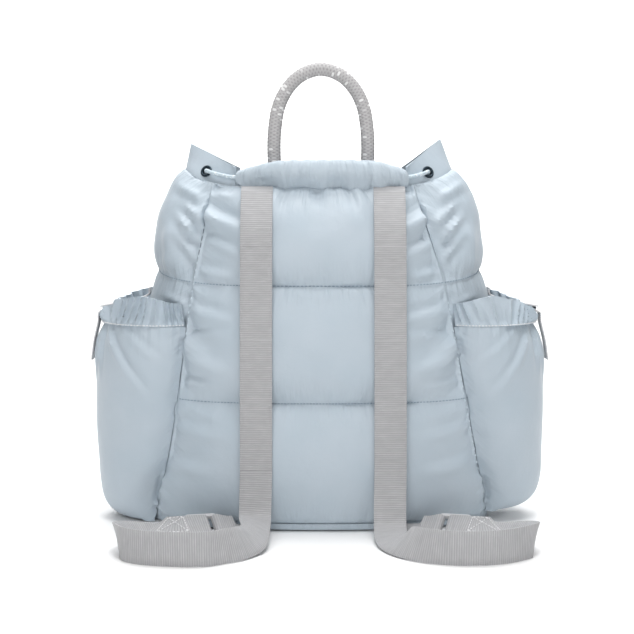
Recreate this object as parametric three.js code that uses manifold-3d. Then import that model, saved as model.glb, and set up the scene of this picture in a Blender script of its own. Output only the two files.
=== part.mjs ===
// Quilted puffer backpack with a drawcord mouth, two side pockets and webbing shoulder straps.
// The wearer's side faces -Y and the bag's front faces +Y. +X is to the right in a view of the
// wearer's side. The origin lies on the floor under the middle of the bag. Sizes are millimetres.

import * as THREE from "three";
import { mergeVertices } from "three/addons/utils/BufferGeometryUtils.js";
import Module from "manifold-3d";

const wasm = await Module();
wasm.setup();

// Bag body
const bodyWidth = 364;
const bodyDepth = 172;
const bodyHeight = 346;
const sideRise = 20;
const baseSeamHeight = 8;
const baseWall = 4;
const seamWall = 3;
const puff = 13;
const pocketedPuff = 4;
const halfPocketedPuff = 8;
const gap = 0.3;

// Drawcord mouth
const rollOut = 11;
const rollUp = 13;
const rollOffset = 1.6;
const rollEndShare = 0.58;
const pleatDepth = 0.13;
const pleats = 12;
const tunnelRadius = 4;
const cordRadius = 2.5;
const earWall = 2;
const earTuck = 8;
const earEndRise = 19;
const eyeletOuter = 13;
const eyeletHole = 8;
const eyeletBarrel = 1.1;
const flangeWall = 1.2;
const earRimShare = 0.25;
const earEyeletShare = 0.5;

// Top handle
const ropeDiameter = 13.5;
const handleSpread = 95;
const handleRise = 127;
const handleFootDrop = 20;
const handleArchDrop = 17;
const handleShift = 1;

// Shoulder straps and their ladder locks
const strapWidth = 32;
const strapWall = 1.8;
const loopReach = 140;
const lockLength = 34;
const lockWidth = 42;
const lockWall = 4;
const barWidth = 4;
const slotClearance = 0.8;
const lockTilt = 20;
const lockYaw = 15;
const lockAway = 110;
const strapTurnRadius = 3.4;
const eyeRadius = 4.3;
const anchorReach = 35;
const anchorTail = 16;
const tailShort = 34;
const tailLong = 62;

// Side pockets
const pocketHeight = 205;
const pocketDepth = 56;
const pocketWall = 2.4;
const pocketSeat = 5;
const ruffleWall = 3;
const ruffleWave = 2.2;
const ruffleWaves = 12;
const closureWidth = 20;
const closureWall = 1.8;
const closureRise = 36;
const closureSlope = 0.16;
const tabDrop = 40;
const snapDiameter = 13;
const snapWall = 3;

const DEGREE = Math.PI / 180;

// Outline of the stitched body at each share of its height. Left, right and depth are shares of the
// half width and half depth, square is the power of the rounded outline, and the seam columns give
// where the vertical seams stand, in degrees round the body from the middle of the back.
const SECTIONS = [
  { rise: 0.0, left: 0.975, right: 0.97, depth: 0.97, square: 2.4, seamLeft: 65, seamRight: 68 },
  { rise: 0.14, left: 1.005, right: 1.0, depth: 1.0, square: 2.4, seamLeft: 54, seamRight: 57.5 },
  { rise: 0.36, left: 0.985, right: 0.985, depth: 0.985, square: 2.4, seamLeft: 49, seamRight: 51 },
  { rise: 0.7, left: 0.92, right: 0.91, depth: 0.91, square: 2.4, seamLeft: 46.5, seamRight: 45.5 },
  { rise: 0.86, left: 0.865, right: 0.85, depth: 0.82, square: 2.35, seamLeft: 45, seamRight: 42 },
  { rise: 1.0, left: 0.785, right: 0.77, depth: 0.63, square: 2.2, seamLeft: 48, seamRight: 41 },
];

// Heights of the sewn lines between the baffles, as shares of the body's height.
const QUILT_SEAMS = [0, 0.36, 0.707, 1];

// Where the gathered roll of the back ends, in degrees to the left and right of its middle.
const ROLL_ENDS = { left: -35, right: 37 };

// The two ears of the mouth band. Peak is how far the folded tip stands above the rim, inward how
// far it leans in, and eyelet where the eyelet sits along the band.
const EARS = [
  { name: "left", side: -1, start: -ROLL_ENDS.left, peak: 25, inward: 9, eyelet: 0.2 },
  { name: "right", side: 1, start: ROLL_ENDS.right, peak: 30, inward: 15, eyelet: 0.16 },
];

// Pocket profile: up is a share of the pocket's height, out a share of its depth.
const POCKET_PROFILE = [
  { up: 0.0, out: 0.04 },
  { up: 0.001, out: 0.5 },
  { up: 0.05, out: 0.78 },
  { up: 0.15, out: 0.86 },
  { up: 0.29, out: 0.84 },
  { up: 0.44, out: 0.88 },
  { up: 0.6, out: 0.93 },
  { up: 0.8, out: 1.0 },
  { up: 0.91, out: 0.98 },
  { up: 1.0, out: 0.9 },
];

// Height of the pocket's gathered rim above its sewn line, from the back seam to the front seam.
const RUFFLE_RISE = [
  { across: 0.0, rise: 22 },
  { across: 0.14, rise: 31 },
  { across: 0.34, rise: 19 },
  { across: 0.5, rise: 7 },
  { across: 0.66, rise: 19 },
  { across: 0.86, rise: 31 },
  { across: 1.0, rise: 22 },
];

const POCKETS = [
  { name: "left", side: -1, lift: 0.4 },
  { name: "right", side: 1, lift: 10 },
];

// Each shoulder strap on the floor, by its lower edge: out is a share of the half width, away a share
// of the loop's reach behind the bag, low a share of the strap's width. Stand and splay turn the
// strap's width up from the floor and round from straight outward, in degrees.
const STRAPS = [
  {
    name: "left",
    side: -1,
    hang: 63.5,
    lockOut: 115,
    floor: [
      { out: 0.265, away: 0.171, low: 0.69, stand: 3, splay: 3 },
      { out: 0.266, away: 0.314, low: 0.47, stand: 16, splay: 4 },
      { out: 0.269, away: 0.457, low: 0.32, stand: 27, splay: 4 },
      { out: 0.286, away: 0.614, low: 0.125, stand: 44, splay: 5 },
      { out: 0.33, away: 0.721, low: 0.04, stand: 58, splay: 8 },
      { out: 0.396, away: 0.836, low: 0.02, stand: 72, splay: 16 },
      { out: 0.467, away: 0.9, low: 0.015, stand: 80, splay: 12 },
      { out: 0.555, away: 0.975, low: 0.015, stand: 89, splay: 10 },
      { out: 0.66, away: 0.996, low: 0.015, stand: 89, splay: 10 },
      { out: 0.78, away: 0.979, low: 0.015, stand: 89, splay: 10 },
      { out: 0.912, away: 0.929, low: 0.015, stand: 89, splay: 10 },
      { out: 1.0, away: 0.84, low: 0.015, stand: 88, splay: 0 },
      { out: 1.028, away: 0.735, low: 0.015, stand: 82, splay: 10 },
      { out: 1.0, away: 0.61, low: 0.015, stand: 60, splay: 22 },
      { out: 0.935, away: 0.49, low: 0.02, stand: 42, splay: 48 },
      { out: 0.842, away: 0.41, low: 0.03, stand: 28, splay: 66 },
    ],
  },
  {
    name: "right",
    side: 1,
    hang: 70,
    lockOut: 131,
    floor: [
      { out: 0.291, away: 0.207, low: 0.47, stand: 0, splay: 0 },
      { out: 0.291, away: 0.329, low: 0.25, stand: 4, splay: 0 },
      { out: 0.302, away: 0.471, low: 0.08, stand: 19, splay: 4 },
      { out: 0.335, away: 0.614, low: 0.04, stand: 36, splay: 12 },
      { out: 0.385, away: 0.729, low: 0.03, stand: 56, splay: 16 },
      { out: 0.456, away: 0.829, low: 0.02, stand: 70, splay: 18 },
      { out: 0.538, away: 0.9, low: 0.015, stand: 80, splay: 15 },
      { out: 0.655, away: 0.95, low: 0.015, stand: 89, splay: 10 },
      { out: 0.769, away: 0.964, low: 0.015, stand: 89, splay: 10 },
      { out: 0.907, away: 0.929, low: 0.015, stand: 89, splay: 10 },
      { out: 1.011, away: 0.848, low: 0.015, stand: 89, splay: 0 },
      { out: 1.09, away: 0.735, low: 0.015, stand: 84, splay: 8 },
      { out: 1.062, away: 0.6, low: 0.015, stand: 60, splay: 22 },
      { out: 1.0, away: 0.485, low: 0.02, stand: 42, splay: 48 },
      { out: 0.918, away: 0.4, low: 0.03, stand: 28, splay: 66 },
    ],
  },
];

const FABRIC = new THREE.MeshStandardMaterial({ color: 0xb8ccdc, roughness: 0.45, metalness: 0 });
const WEBBING = new THREE.MeshStandardMaterial({ color: 0xb9b9bc, roughness: 0.75, metalness: 0 });
const ROPE = new THREE.MeshStandardMaterial({ color: 0xb2b1b3, roughness: 0.85, metalness: 0 });
const CORD = new THREE.MeshStandardMaterial({ color: 0xcdd9e2, roughness: 0.7, metalness: 0 });
const GUNMETAL = new THREE.MeshStandardMaterial({ color: 0x2d3c46, roughness: 0.35, metalness: 0.8 });
const PLASTIC = new THREE.MeshStandardMaterial({ color: 0xc8c8ca, roughness: 0.4, metalness: 0 });

// A value from a short table, eased smoothly between its rows.
function column(rows, at, key, position) {
  const last = rows.length - 1;
  const place = Math.min(Math.max(position, rows[0][at]), rows[last][at]);
  let next = 1;
  while (next < last && rows[next][at] < place) {
    next += 1;
  }
  const before = rows[next - 1];
  const after = rows[next];
  const span = after[at] - before[at];
  const slope = (low, high) => (rows[high][key] - rows[low][key]) / (rows[high][at] - rows[low][at]);
  const startSlope = slope(Math.max(next - 2, 0), next);
  const endSlope = slope(next - 1, Math.min(next + 1, last));
  const share = (place - before[at]) / span;
  const left = 1 - share;
  const level = before[key] * (1 + 2 * share) * left * left + after[key] * share * share * (3 - 2 * share);
  return level + span * share * left * (startSlope * left - endSlope * share);
}

function mix(from, to, share) {
  return from + (to - from) * share;
}

// How full a baffle is between its two seams: pinched at each, round between.
function crown(share) {
  const inside = Math.min(Math.max(share, 0), 1);
  return (4 * inside * (1 - inside)) ** 0.45;
}

// Shares from 0 to 1, closer together near both ends.
function endedShares(count) {
  return Array.from({ length: count + 1 }, (_, step) => (1 - Math.cos((Math.PI * step) / count)) / 2);
}

function evenShares(count) {
  return Array.from({ length: count + 1 }, (_, step) => step / count);
}

// A closed solid from shared points and triangles, with its faces turned outward.
function closedGeometry(points, faces) {
  let volume = 0;
  for (const [a, b, c] of faces) {
    volume += points[a].dot(new THREE.Vector3().crossVectors(points[b], points[c]));
  }
  const ordered = volume < 0 ? faces.map(([a, b, c]) => [a, c, b]) : faces;
  const geometry = new THREE.BufferGeometry();
  const places = points.flatMap((point) => [point.x, point.y, point.z]);
  geometry.setAttribute("position", new THREE.Float32BufferAttribute(places, 3));
  geometry.setIndex(ordered.flat());
  return geometry;
}

function quad(a, b, c, d) {
  return [[a, b, c], [a, c, d]];
}

// A solid between two grids of points with the same rows and columns.
function slab(front, back) {
  const rows = front.length;
  const columns = front[0].length;
  const points = [...front.flat(), ...back.flat()];
  const at = (row, place) => row * columns + place;
  const behind = (row, place) => rows * columns + at(row, place);
  const faces = [];
  for (let row = 0; row < rows - 1; row += 1) {
    for (let place = 0; place < columns - 1; place += 1) {
      faces.push(...quad(at(row, place), at(row, place + 1), at(row + 1, place + 1), at(row + 1, place)));
      faces.push(
        ...quad(behind(row, place), behind(row + 1, place), behind(row + 1, place + 1), behind(row, place + 1)),
      );
    }
    const end = columns - 1;
    faces.push(...quad(at(row, 0), at(row + 1, 0), behind(row + 1, 0), behind(row, 0)));
    faces.push(...quad(at(row, end), behind(row, end), behind(row + 1, end), at(row + 1, end)));
  }
  for (let place = 0; place < columns - 1; place += 1) {
    const end = rows - 1;
    faces.push(...quad(at(0, place), behind(0, place), behind(0, place + 1), at(0, place + 1)));
    faces.push(...quad(at(end, place), at(end, place + 1), behind(end, place + 1), behind(end, place)));
  }
  return closedGeometry(points, faces);
}

// A grid moved by a wall's thickness along its own normals, or along their level part alone.
function shifted(grid, distance, level = false) {
  const rows = grid.length - 1;
  const columns = grid[0].length - 1;
  return grid.map((line, row) => line.map((point, place) => {
    const along = new THREE.Vector3().subVectors(
      line[Math.min(place + 1, columns)],
      line[Math.max(place - 1, 0)],
    );
    const up = new THREE.Vector3().subVectors(
      grid[Math.min(row + 1, rows)][place],
      grid[Math.max(row - 1, 0)][place],
    );
    const normal = along.cross(up);
    normal.z = level ? 0 : normal.z;
    normal.normalize();
    return point.clone().addScaledVector(normal, distance);
  }));
}

// A solid through closed rings of points, ended by a flat cap round the middle of each end ring. The
// two halves of a ring are cut along opposite diagonals, so that a twisted strap keeps its wall.
function ringed(rings, startPoint, endPoint) {
  const around = rings[0].length;
  const points = [...rings.flat(), startPoint, endPoint];
  const start = points.length - 2;
  const end = points.length - 1;
  const faces = [];
  for (let ring = 0; ring < rings.length - 1; ring += 1) {
    for (let step = 0; step < around; step += 1) {
      const next = (step + 1) % around;
      const low = ring * around;
      const corners = [low + step, low + next, low + around + next, low + around + step];
      faces.push(...(step < around / 2 ? quad(...corners) : quad(...corners.slice(1), corners[0])));
    }
  }
  const last = (rings.length - 1) * around;
  for (let step = 0; step < around; step += 1) {
    const next = (step + 1) % around;
    faces.push([start, next, step]);
    faces.push([end, last + step, last + next]);
  }
  return closedGeometry(points, faces);
}

function middle(ring) {
  const sum = ring.reduce((total, point) => total.add(point), new THREE.Vector3());
  return sum.divideScalar(ring.length);
}

// A flat strap through stations that each hold a centre and half of the width as a vector.
function ribbon(stations, wall) {
  const last = stations.length - 1;
  const rings = stations.map(({ centre, across, ahead }, step) => {
    const tangent = new THREE.Vector3().subVectors(
      stations[Math.min(step + 1, last)].centre,
      stations[Math.max(step - 1, 0)].centre,
    );
    const face = (ahead ?? tangent).clone().cross(across).normalize().multiplyScalar(wall / 2);
    const corner = (sideways, up) => centre.clone().addScaledVector(across, sideways).addScaledVector(face, up);
    return [corner(-1, -1), corner(1, -1), corner(1, 1), corner(-1, 1)];
  });
  return ringed(rings, middle(rings[0]), middle(rings[last]));
}

// Booleans between closed solids.
function toSolid(geometry) {
  const bare = new THREE.BufferGeometry();
  bare.setAttribute("position", geometry.getAttribute("position"));
  bare.setIndex(geometry.getIndex());
  const merged = mergeVertices(bare, 1e-4);
  return new wasm.Manifold(new wasm.Mesh({
    numProp: 3,
    vertProperties: new Float32Array(merged.getAttribute("position").array),
    triVerts: new Uint32Array(merged.getIndex().array),
  }));
}

function fromSolid(solid) {
  const mesh = solid.getMesh();
  const geometry = new THREE.BufferGeometry();
  geometry.setAttribute("position", new THREE.BufferAttribute(new Float32Array(mesh.vertProperties), 3));
  geometry.setIndex(new THREE.BufferAttribute(new Uint32Array(mesh.triVerts), 1));
  return geometry;
}

const backpack = new THREE.Group();

function addPiece(name, geometry, material) {
  const mesh = new THREE.Mesh(geometry, material);
  mesh.name = name;
  backpack.add(mesh);
  return mesh;
}

function rimHeight(turn) {
  return bodyHeight + sideRise * Math.abs(Math.sin(turn * DEGREE)) ** 5;
}

function riseAt(turn, height) {
  return (height - baseSeamHeight) / (rimHeight(turn) - baseSeamHeight);
}

function heightAt(turn, rise) {
  return mix(baseSeamHeight, rimHeight(turn), rise);
}

// A point on the stitched surface, turned in degrees from the middle of the back, moved outward.
function bodyAt(turn, height, offset = 0) {
  const rise = riseAt(turn, height);
  const sine = Math.sin(turn * DEGREE);
  const cosine = Math.cos(turn * DEGREE);
  const half = (column(SECTIONS, "rise", sine < 0 ? "left" : "right", rise) * bodyWidth) / 2;
  const deep = (column(SECTIONS, "rise", "depth", rise) * bodyDepth) / 2;
  const square = column(SECTIONS, "rise", "square", rise);
  const reach = (Math.abs(sine) ** square + Math.abs(cosine) ** square) ** (-1 / square);
  const normal = new THREE.Vector2(
    (Math.sign(sine) * Math.abs(sine * reach) ** (square - 1)) / half,
    (-Math.sign(cosine) * Math.abs(cosine * reach) ** (square - 1)) / deep,
  ).normalize();
  return new THREE.Vector3(
    half * sine * reach + offset * normal.x,
    -deep * cosine * reach + offset * normal.y,
    height,
  );
}

// Degrees of turn that cover one millimetre of the outline.
function turnPerLength(turn, height) {
  const step = 0.5;
  return (2 * step) / bodyAt(turn - step, height).distanceTo(bodyAt(turn + step, height));
}

// The four vertical seams, as turns from the middle of the back.
const SEAMS = {
  backLeft: (rise) => -column(SECTIONS, "rise", "seamLeft", rise),
  backRight: (rise) => column(SECTIONS, "rise", "seamRight", rise),
  frontRight: (rise) => 180 - column(SECTIONS, "rise", "seamRight", rise),
  frontLeft: (rise) => column(SECTIONS, "rise", "seamLeft", rise) - 180,
};

const openPuffs = [puff, puff, puff];
const sidePuffs = [pocketedPuff, halfPocketedPuff, puff];
const PANELS = [
  { name: "back_panel", from: SEAMS.backLeft, to: SEAMS.backRight, puffs: openPuffs, columns: 12, evenness: 0 },
  {
    name: "side_panel_right",
    from: SEAMS.backRight,
    to: SEAMS.frontRight,
    puffs: sidePuffs,
    columns: 10,
    evenness: 0.7,
  },
  {
    name: "front_panel",
    from: SEAMS.frontRight,
    to: (rise) => SEAMS.frontLeft(rise) + 360,
    puffs: openPuffs,
    columns: 12,
    evenness: 0,
  },
  {
    name: "side_panel_left",
    from: SEAMS.frontLeft,
    to: SEAMS.backLeft,
    puffs: sidePuffs,
    columns: 10,
    evenness: 0.7,
  },
];

// How far the outer cloth of a panel stands out at a turn and rise.
function puffAt(panel, turn, rise) {
  const share = (turn - panel.from(rise)) / (panel.to(rise) - panel.from(rise));
  let baffle = 0;
  while (baffle < QUILT_SEAMS.length - 2 && rise > QUILT_SEAMS[baffle + 1]) {
    baffle += 1;
  }
  const low = QUILT_SEAMS[baffle];
  const high = QUILT_SEAMS[baffle + 1];
  return panel.puffs[baffle] * crown(share) * crown((rise - low) / (high - low));
}

// One quilted panel: a wall pressed thin at its seams and puffed out between them.
function panelGeometry(panel) {
  const rowsPerBaffle = 5;
  const rises = [0];
  for (let baffle = 0; baffle < QUILT_SEAMS.length - 1; baffle += 1) {
    for (const share of endedShares(rowsPerBaffle).slice(1)) {
      rises.push(mix(QUILT_SEAMS[baffle], QUILT_SEAMS[baffle + 1], share));
    }
  }
  const shares = endedShares(panel.columns).map((share, step) => mix(share, step / panel.columns, panel.evenness));
  const grid = (offsetOf) => rises.map((rise) => shares.map((share) => {
    const seamFrom = panel.from(rise);
    const seamTo = panel.to(rise);
    const from = seamFrom + (gap / 2) * turnPerLength(seamFrom, heightAt(seamFrom, rise));
    const to = seamTo - (gap / 2) * turnPerLength(seamTo, heightAt(seamTo, rise));
    const turn = mix(from, to, share);
    return bodyAt(turn, heightAt(turn, rise), offsetOf(turn, rise));
  }));
  const outer = grid((turn, rise) => seamWall / 2 + puffAt(panel, turn, rise));
  const inner = grid(() => -seamWall / 2);
  return slab(outer, inner);
}

for (const panel of PANELS) {
  addPiece(panel.name, panelGeometry(panel), FABRIC);
}

// The base is a shallow pan whose rim meets the panels at the base seam.
function baseGeometry() {
  const steps = 32;
  const rim = baseSeamHeight - gap;
  const ring = (offset, height) => Array.from({ length: steps }, (_, step) => {
    const point = bodyAt((360 * step) / steps, baseSeamHeight, offset);
    point.z = height;
    return point;
  });
  const wall = seamWall / 2;
  const rings = [
    ring(-wall - baseWall, 0),
    ring(wall * 0.4, rim * 0.25),
    ring(wall, rim),
    ring(-wall, rim),
    ring(-wall * 2, mix(baseWall, rim, 0.4)),
    ring(-wall - 2 * baseWall, baseWall),
  ];
  return ringed(rings, new THREE.Vector3(0, 0, 0), new THREE.Vector3(0, 0, baseWall));
}
addPiece("base_panel", baseGeometry(), FABRIC);

// The gathered rolls round the mouth, one on the back and one on the front.
function rollTaper(share) {
  const inside = Math.min(Math.max(share, 0), 1);
  return mix(rollEndShare, 1, Math.sqrt(4 * inside * (1 - inside)));
}

function rollCentre(from, to, share) {
  const turn = mix(from, to, share);
  const centre = bodyAt(turn, rimHeight(turn), rollOffset);
  centre.z += gap + rollUp * rollTaper(share);
  return centre;
}

function rollRing(from, to, share, out, up, sides) {
  const turn = mix(from, to, share);
  const centre = rollCentre(from, to, share);
  const outward = bodyAt(turn, rimHeight(turn), rollOffset + 1).sub(bodyAt(turn, rimHeight(turn), rollOffset));
  return Array.from({ length: sides }, (_, side) => {
    const angle = (2 * Math.PI * side) / sides - Math.PI / 2;
    const point = centre.clone().addScaledVector(outward, out * Math.cos(angle));
    point.z += up * Math.sin(angle);
    return point;
  });
}

function rollGeometry(from, to) {
  const stepsPerPleat = 3;
  const sides = 8;
  const outerRings = evenShares(pleats * stepsPerPleat).map((share) => {
    const pinch = 1 - (pleatDepth * (1 - Math.cos(2 * Math.PI * pleats * share))) / 2;
    const size = rollTaper(share) * pinch;
    return rollRing(from, to, share, rollOut * size, rollUp * size, sides);
  });
  const pastEnd = 0.01;
  const tunnelRings = evenShares(2 * sides).map((share) => {
    const place = mix(-pastEnd, 1 + pastEnd, share);
    return rollRing(from, to, place, tunnelRadius, tunnelRadius, sides);
  });
  const outer = ringed(outerRings, middle(outerRings[0]), middle(outerRings.at(-1)));
  const tunnel = ringed(tunnelRings, middle(tunnelRings[0]), middle(tunnelRings.at(-1)));
  return fromSolid(toSolid(outer).subtract(toSolid(tunnel)));
}

const BACK_ROLL = { from: ROLL_ENDS.left, to: ROLL_ENDS.right };
const FRONT_ROLL = { from: 180 - ROLL_ENDS.right, to: 180 - ROLL_ENDS.left };
addPiece("back_casing", rollGeometry(BACK_ROLL.from, BACK_ROLL.to), FABRIC);
addPiece("front_casing", rollGeometry(FRONT_ROLL.from, FRONT_ROLL.to), FABRIC);

// Each ear is the smooth stretch of the mouth band between the two rolls, folded to a tip.
const earInset = seamWall / 2 + 4 * gap + earWall / 2;

function earPoint(ear, along, up) {
  const clear = 1.2;
  const turn = ear.side * mix(ear.start + clear, 180 - ear.start - clear, along);
  const bottom = bodyAt(turn, rimHeight(turn) - earTuck, -earInset);
  const level = bodyAt(turn, rimHeight(turn), -earInset);
  const end = (endTurn) => {
    const point = bodyAt(endTurn, rimHeight(endTurn), -earInset);
    point.z += earEndRise;
    return point;
  };
  const tip = bodyAt(ear.side * 90, rimHeight(90), -ear.inward);
  tip.z += ear.peak;
  const nearEnd = end(ear.side * (ear.start + clear));
  const farEnd = end(ear.side * (180 - ear.start - clear));
  const top = along < 0.5
    ? nearEnd.lerp(tip, along * 2)
    : tip.clone().lerp(farEnd, along * 2 - 1);
  return up < earRimShare
    ? bottom.lerp(level, up / earRimShare)
    : level.lerp(top, (up - earRimShare) / (1 - earRimShare));
}

function earFrame(ear, along) {
  const up = earEyeletShare;
  const step = 0.02;
  const centre = earPoint(ear, along, up);
  const sideways = earPoint(ear, along + step, up).sub(earPoint(ear, along - step, up));
  const upward = earPoint(ear, along, up + step).sub(earPoint(ear, along, up - step));
  const outward = new THREE.Vector3().crossVectors(sideways, upward).normalize();
  if (outward.x * ear.side < 0) {
    outward.negate();
  }
  return { centre, outward, sideways: sideways.normalize() };
}

const flangeTop = earWall / 2 + gap + flangeWall;

// A rolled metal eyelet: a barrel through the band with a flange on each face.
function eyeletGeometry() {
  const hole = eyeletHole / 2;
  const outer = eyeletOuter / 2;
  const barrel = hole + eyeletBarrel;
  const under = flangeTop - flangeWall;
  const shoulder = mix(hole, outer, 0.5);
  const profile = [
    [hole, 0],
    [shoulder, -flangeTop],
    [outer, -under],
    [barrel, -under],
    [barrel, under],
    [outer, under],
    [shoulder, flangeTop],
  ];
  const points = [...profile, profile[0]].map(([radius, up]) => new THREE.Vector2(radius, up));
  return new THREE.LatheGeometry(points, 12);
}

// The room an eyelet takes, a clearance wider than the eyelet itself.
function eyeletRoom(frame) {
  const barrel = eyeletHole / 2 + eyeletBarrel + gap;
  const outer = eyeletOuter / 2 + gap;
  const under = earWall / 2;
  const far = flangeTop + earWall;
  const profile = [[0, -far], [outer, -far], [outer, -under], [barrel, -under], [barrel, under], [outer, under],
    [outer, far], [0, far]];
  const room = new THREE.LatheGeometry(profile.map(([radius, up]) => new THREE.Vector2(radius, up)), 12);
  room.applyQuaternion(new THREE.Quaternion().setFromUnitVectors(new THREE.Vector3(0, 1, 0), frame.outward));
  room.translate(frame.centre.x, frame.centre.y, frame.centre.z);
  return room;
}

const eyelets = {};
for (const ear of EARS) {
  const grid = [0, earRimShare, 0.6, 1].map((up) => evenShares(14).map((along) => earPoint(ear, along, up)));
  let band = toSolid(slab(shifted(grid, earWall / 2), shifted(grid, -earWall / 2)));
  const places = { back: ear.eyelet, front: 1 - ear.eyelet };
  for (const [end, along] of Object.entries(places)) {
    const frame = earFrame(ear, along);
    band = band.subtract(toSolid(eyeletRoom(frame)));
    const mesh = addPiece(`eyelet_${end}_${ear.name}`, eyeletGeometry(), GUNMETAL);
    mesh.position.copy(frame.centre);
    mesh.quaternion.setFromUnitVectors(new THREE.Vector3(0, 1, 0), frame.outward);
    eyelets[`${end}_${ear.name}`] = frame;
  }
  addPiece(`ear_band_${ear.name}`, fromSolid(band), FABRIC);
}

// The drawcord is one closed loop through both rolls and all four eyelets, held all the way.
class SpacedRoute extends THREE.CatmullRomCurve3 {
  getPointAt(share, target) {
    return this.getPoint(share, target);
  }

  getTangentAt(share, target) {
    return this.getTangent(share, target);
  }
}

function eyeletPass(frame, towards) {
  const along = frame.sideways.clone();
  if (along.dot(new THREE.Vector3().subVectors(towards, frame.centre)) < 0) {
    along.negate();
  }
  const point = (out, sideways) => frame.centre.clone()
    .addScaledVector(frame.outward, out)
    .addScaledVector(along, sideways);
  const over = flangeTop + cordRadius + 2 * gap;
  return [
    point(over, 10),
    point(over, 4.5),
    point(over * 0.72, 1.2),
    point(flangeTop * 0.5, 0),
    point(-flangeTop * 0.5, 0),
    point(-over * 0.72, -1.2),
    point(-over, -4.5),
    point(-over - 1, -14),
  ];
}

function drawcordGeometry() {
  const through = (roll) => evenShares(8).map((share) => rollCentre(roll.from, roll.to, share));
  const back = through(BACK_ROLL);
  const front = through(FRONT_ROLL);
  const rightBack = eyeletPass(eyelets.back_right, back.at(-1));
  const rightFront = eyeletPass(eyelets.front_right, front[0]).reverse();
  const leftFront = eyeletPass(eyelets.front_left, front.at(-1));
  const leftBack = eyeletPass(eyelets.back_left, back[0]).reverse();
  const points = [...back, ...rightBack, ...rightFront, ...front, ...leftFront, ...leftBack];
  const route = new SpacedRoute(points, true, "centripetal");
  const stepsPerPoint = 1.5;
  return new THREE.TubeGeometry(route, Math.round(points.length * stepsPerPoint), cordRadius, 6, true);
}
addPiece("drawcord", drawcordGeometry(), CORD);

// Turn at which a line round the body reaches a given distance across, on the back.
function turnAcross(across, height, offsetOf) {
  let low = -80;
  let high = 80;
  for (let pass = 0; pass < 30; pass += 1) {
    const turn = (low + high) / 2;
    if (bodyAt(turn, height, offsetOf(turn)).x < across) {
      low = turn;
    } else {
      high = turn;
    }
  }
  return (low + high) / 2;
}

// The rope handle arches over the back roll, and its feet are sewn to the back panel's inner face.
function handleGeometry() {
  const radius = ropeDiameter / 2;
  const footHeight = bodyHeight - handleFootDrop;
  const rollInside = () => rollOffset - rollOut - gap - radius;
  const legTurn = turnAcross(handleSpread / 2 + radius, bodyHeight, rollInside);
  const legAway = bodyAt(legTurn, bodyHeight, rollInside()).y;
  const springing = handleRise - radius - handleSpread / 2 - handleArchDrop;
  const leg = (side) => {
    const across = side * (handleSpread / 2) + handleShift;
    const inset = () => -(seamWall / 2 + 2 * gap + radius);
    const foot = bodyAt(turnAcross(across, footHeight, inset), footHeight, inset());
    return [
      foot,
      new THREE.Vector3(across, mix(foot.y, legAway, 0.75), bodyHeight - 2),
      new THREE.Vector3(across, legAway, bodyHeight + rollUp),
      new THREE.Vector3(across, legAway, bodyHeight + springing),
    ];
  };
  const archSteps = [30, 60, 90, 120, 150];
  const archRise = handleRise - radius - springing;
  const arch = archSteps.map((angle) => new THREE.Vector3(
    handleShift - (handleSpread / 2) * Math.cos(angle * DEGREE),
    legAway,
    bodyHeight + springing + archRise * Math.sin(angle * DEGREE),
  ));
  const route = new THREE.CatmullRomCurve3([...leg(-1), ...arch, ...leg(1).reverse()], false, "centripetal");
  const section = new THREE.Shape(new THREE.EllipseCurve(0, 0, radius, radius).getPoints(10).slice(0, 10));
  return new THREE.ExtrudeGeometry(section, { steps: 26, extrudePath: route, bevelEnabled: false });
}
addPiece("handle_rope", handleGeometry(), ROPE);

// Ladder locks lie by the base corners, each at the end of a short webbing anchor.
function lockFrame(strap) {
  const yaw = lockYaw * DEGREE;
  const tilt = lockTilt * DEGREE;
  const along = new THREE.Vector3(Math.cos(yaw), -Math.sin(yaw), 0);
  const across = new THREE.Vector3(
    Math.sin(yaw) * Math.cos(tilt),
    Math.cos(yaw) * Math.cos(tilt),
    Math.sin(tilt),
  );
  const face = new THREE.Vector3().crossVectors(along, across);
  const height = 2 * gap + (strapWidth / 2) * Math.sin(tilt) + (eyeRadius + strapWall / 2) * Math.cos(tilt);
  const centre = new THREE.Vector3(strap.lockOut, -lockAway, height);
  const place = (ahead, sideways, up) => centre.clone()
    .addScaledVector(along, ahead)
    .addScaledVector(across, sideways)
    .addScaledVector(face, up);
  return { along, across, face, centre, place };
}

// A geometry made on the right-hand side, mirrored when it belongs on the left.
function handed(geometry, side) {
  if (side > 0) {
    return geometry;
  }
  const mirrored = geometry.index ? geometry : mergeVertices(geometry);
  const position = mirrored.getAttribute("position");
  const points = Array.from({ length: position.count }, (_, step) => new THREE.Vector3(
    -position.getX(step),
    position.getY(step),
    position.getZ(step),
  ));
  const index = Array.from(mirrored.getIndex().array);
  const faces = Array.from({ length: index.length / 3 }, (_, step) => index.slice(step * 3, step * 3 + 3));
  return closedGeometry(points, faces);
}

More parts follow.
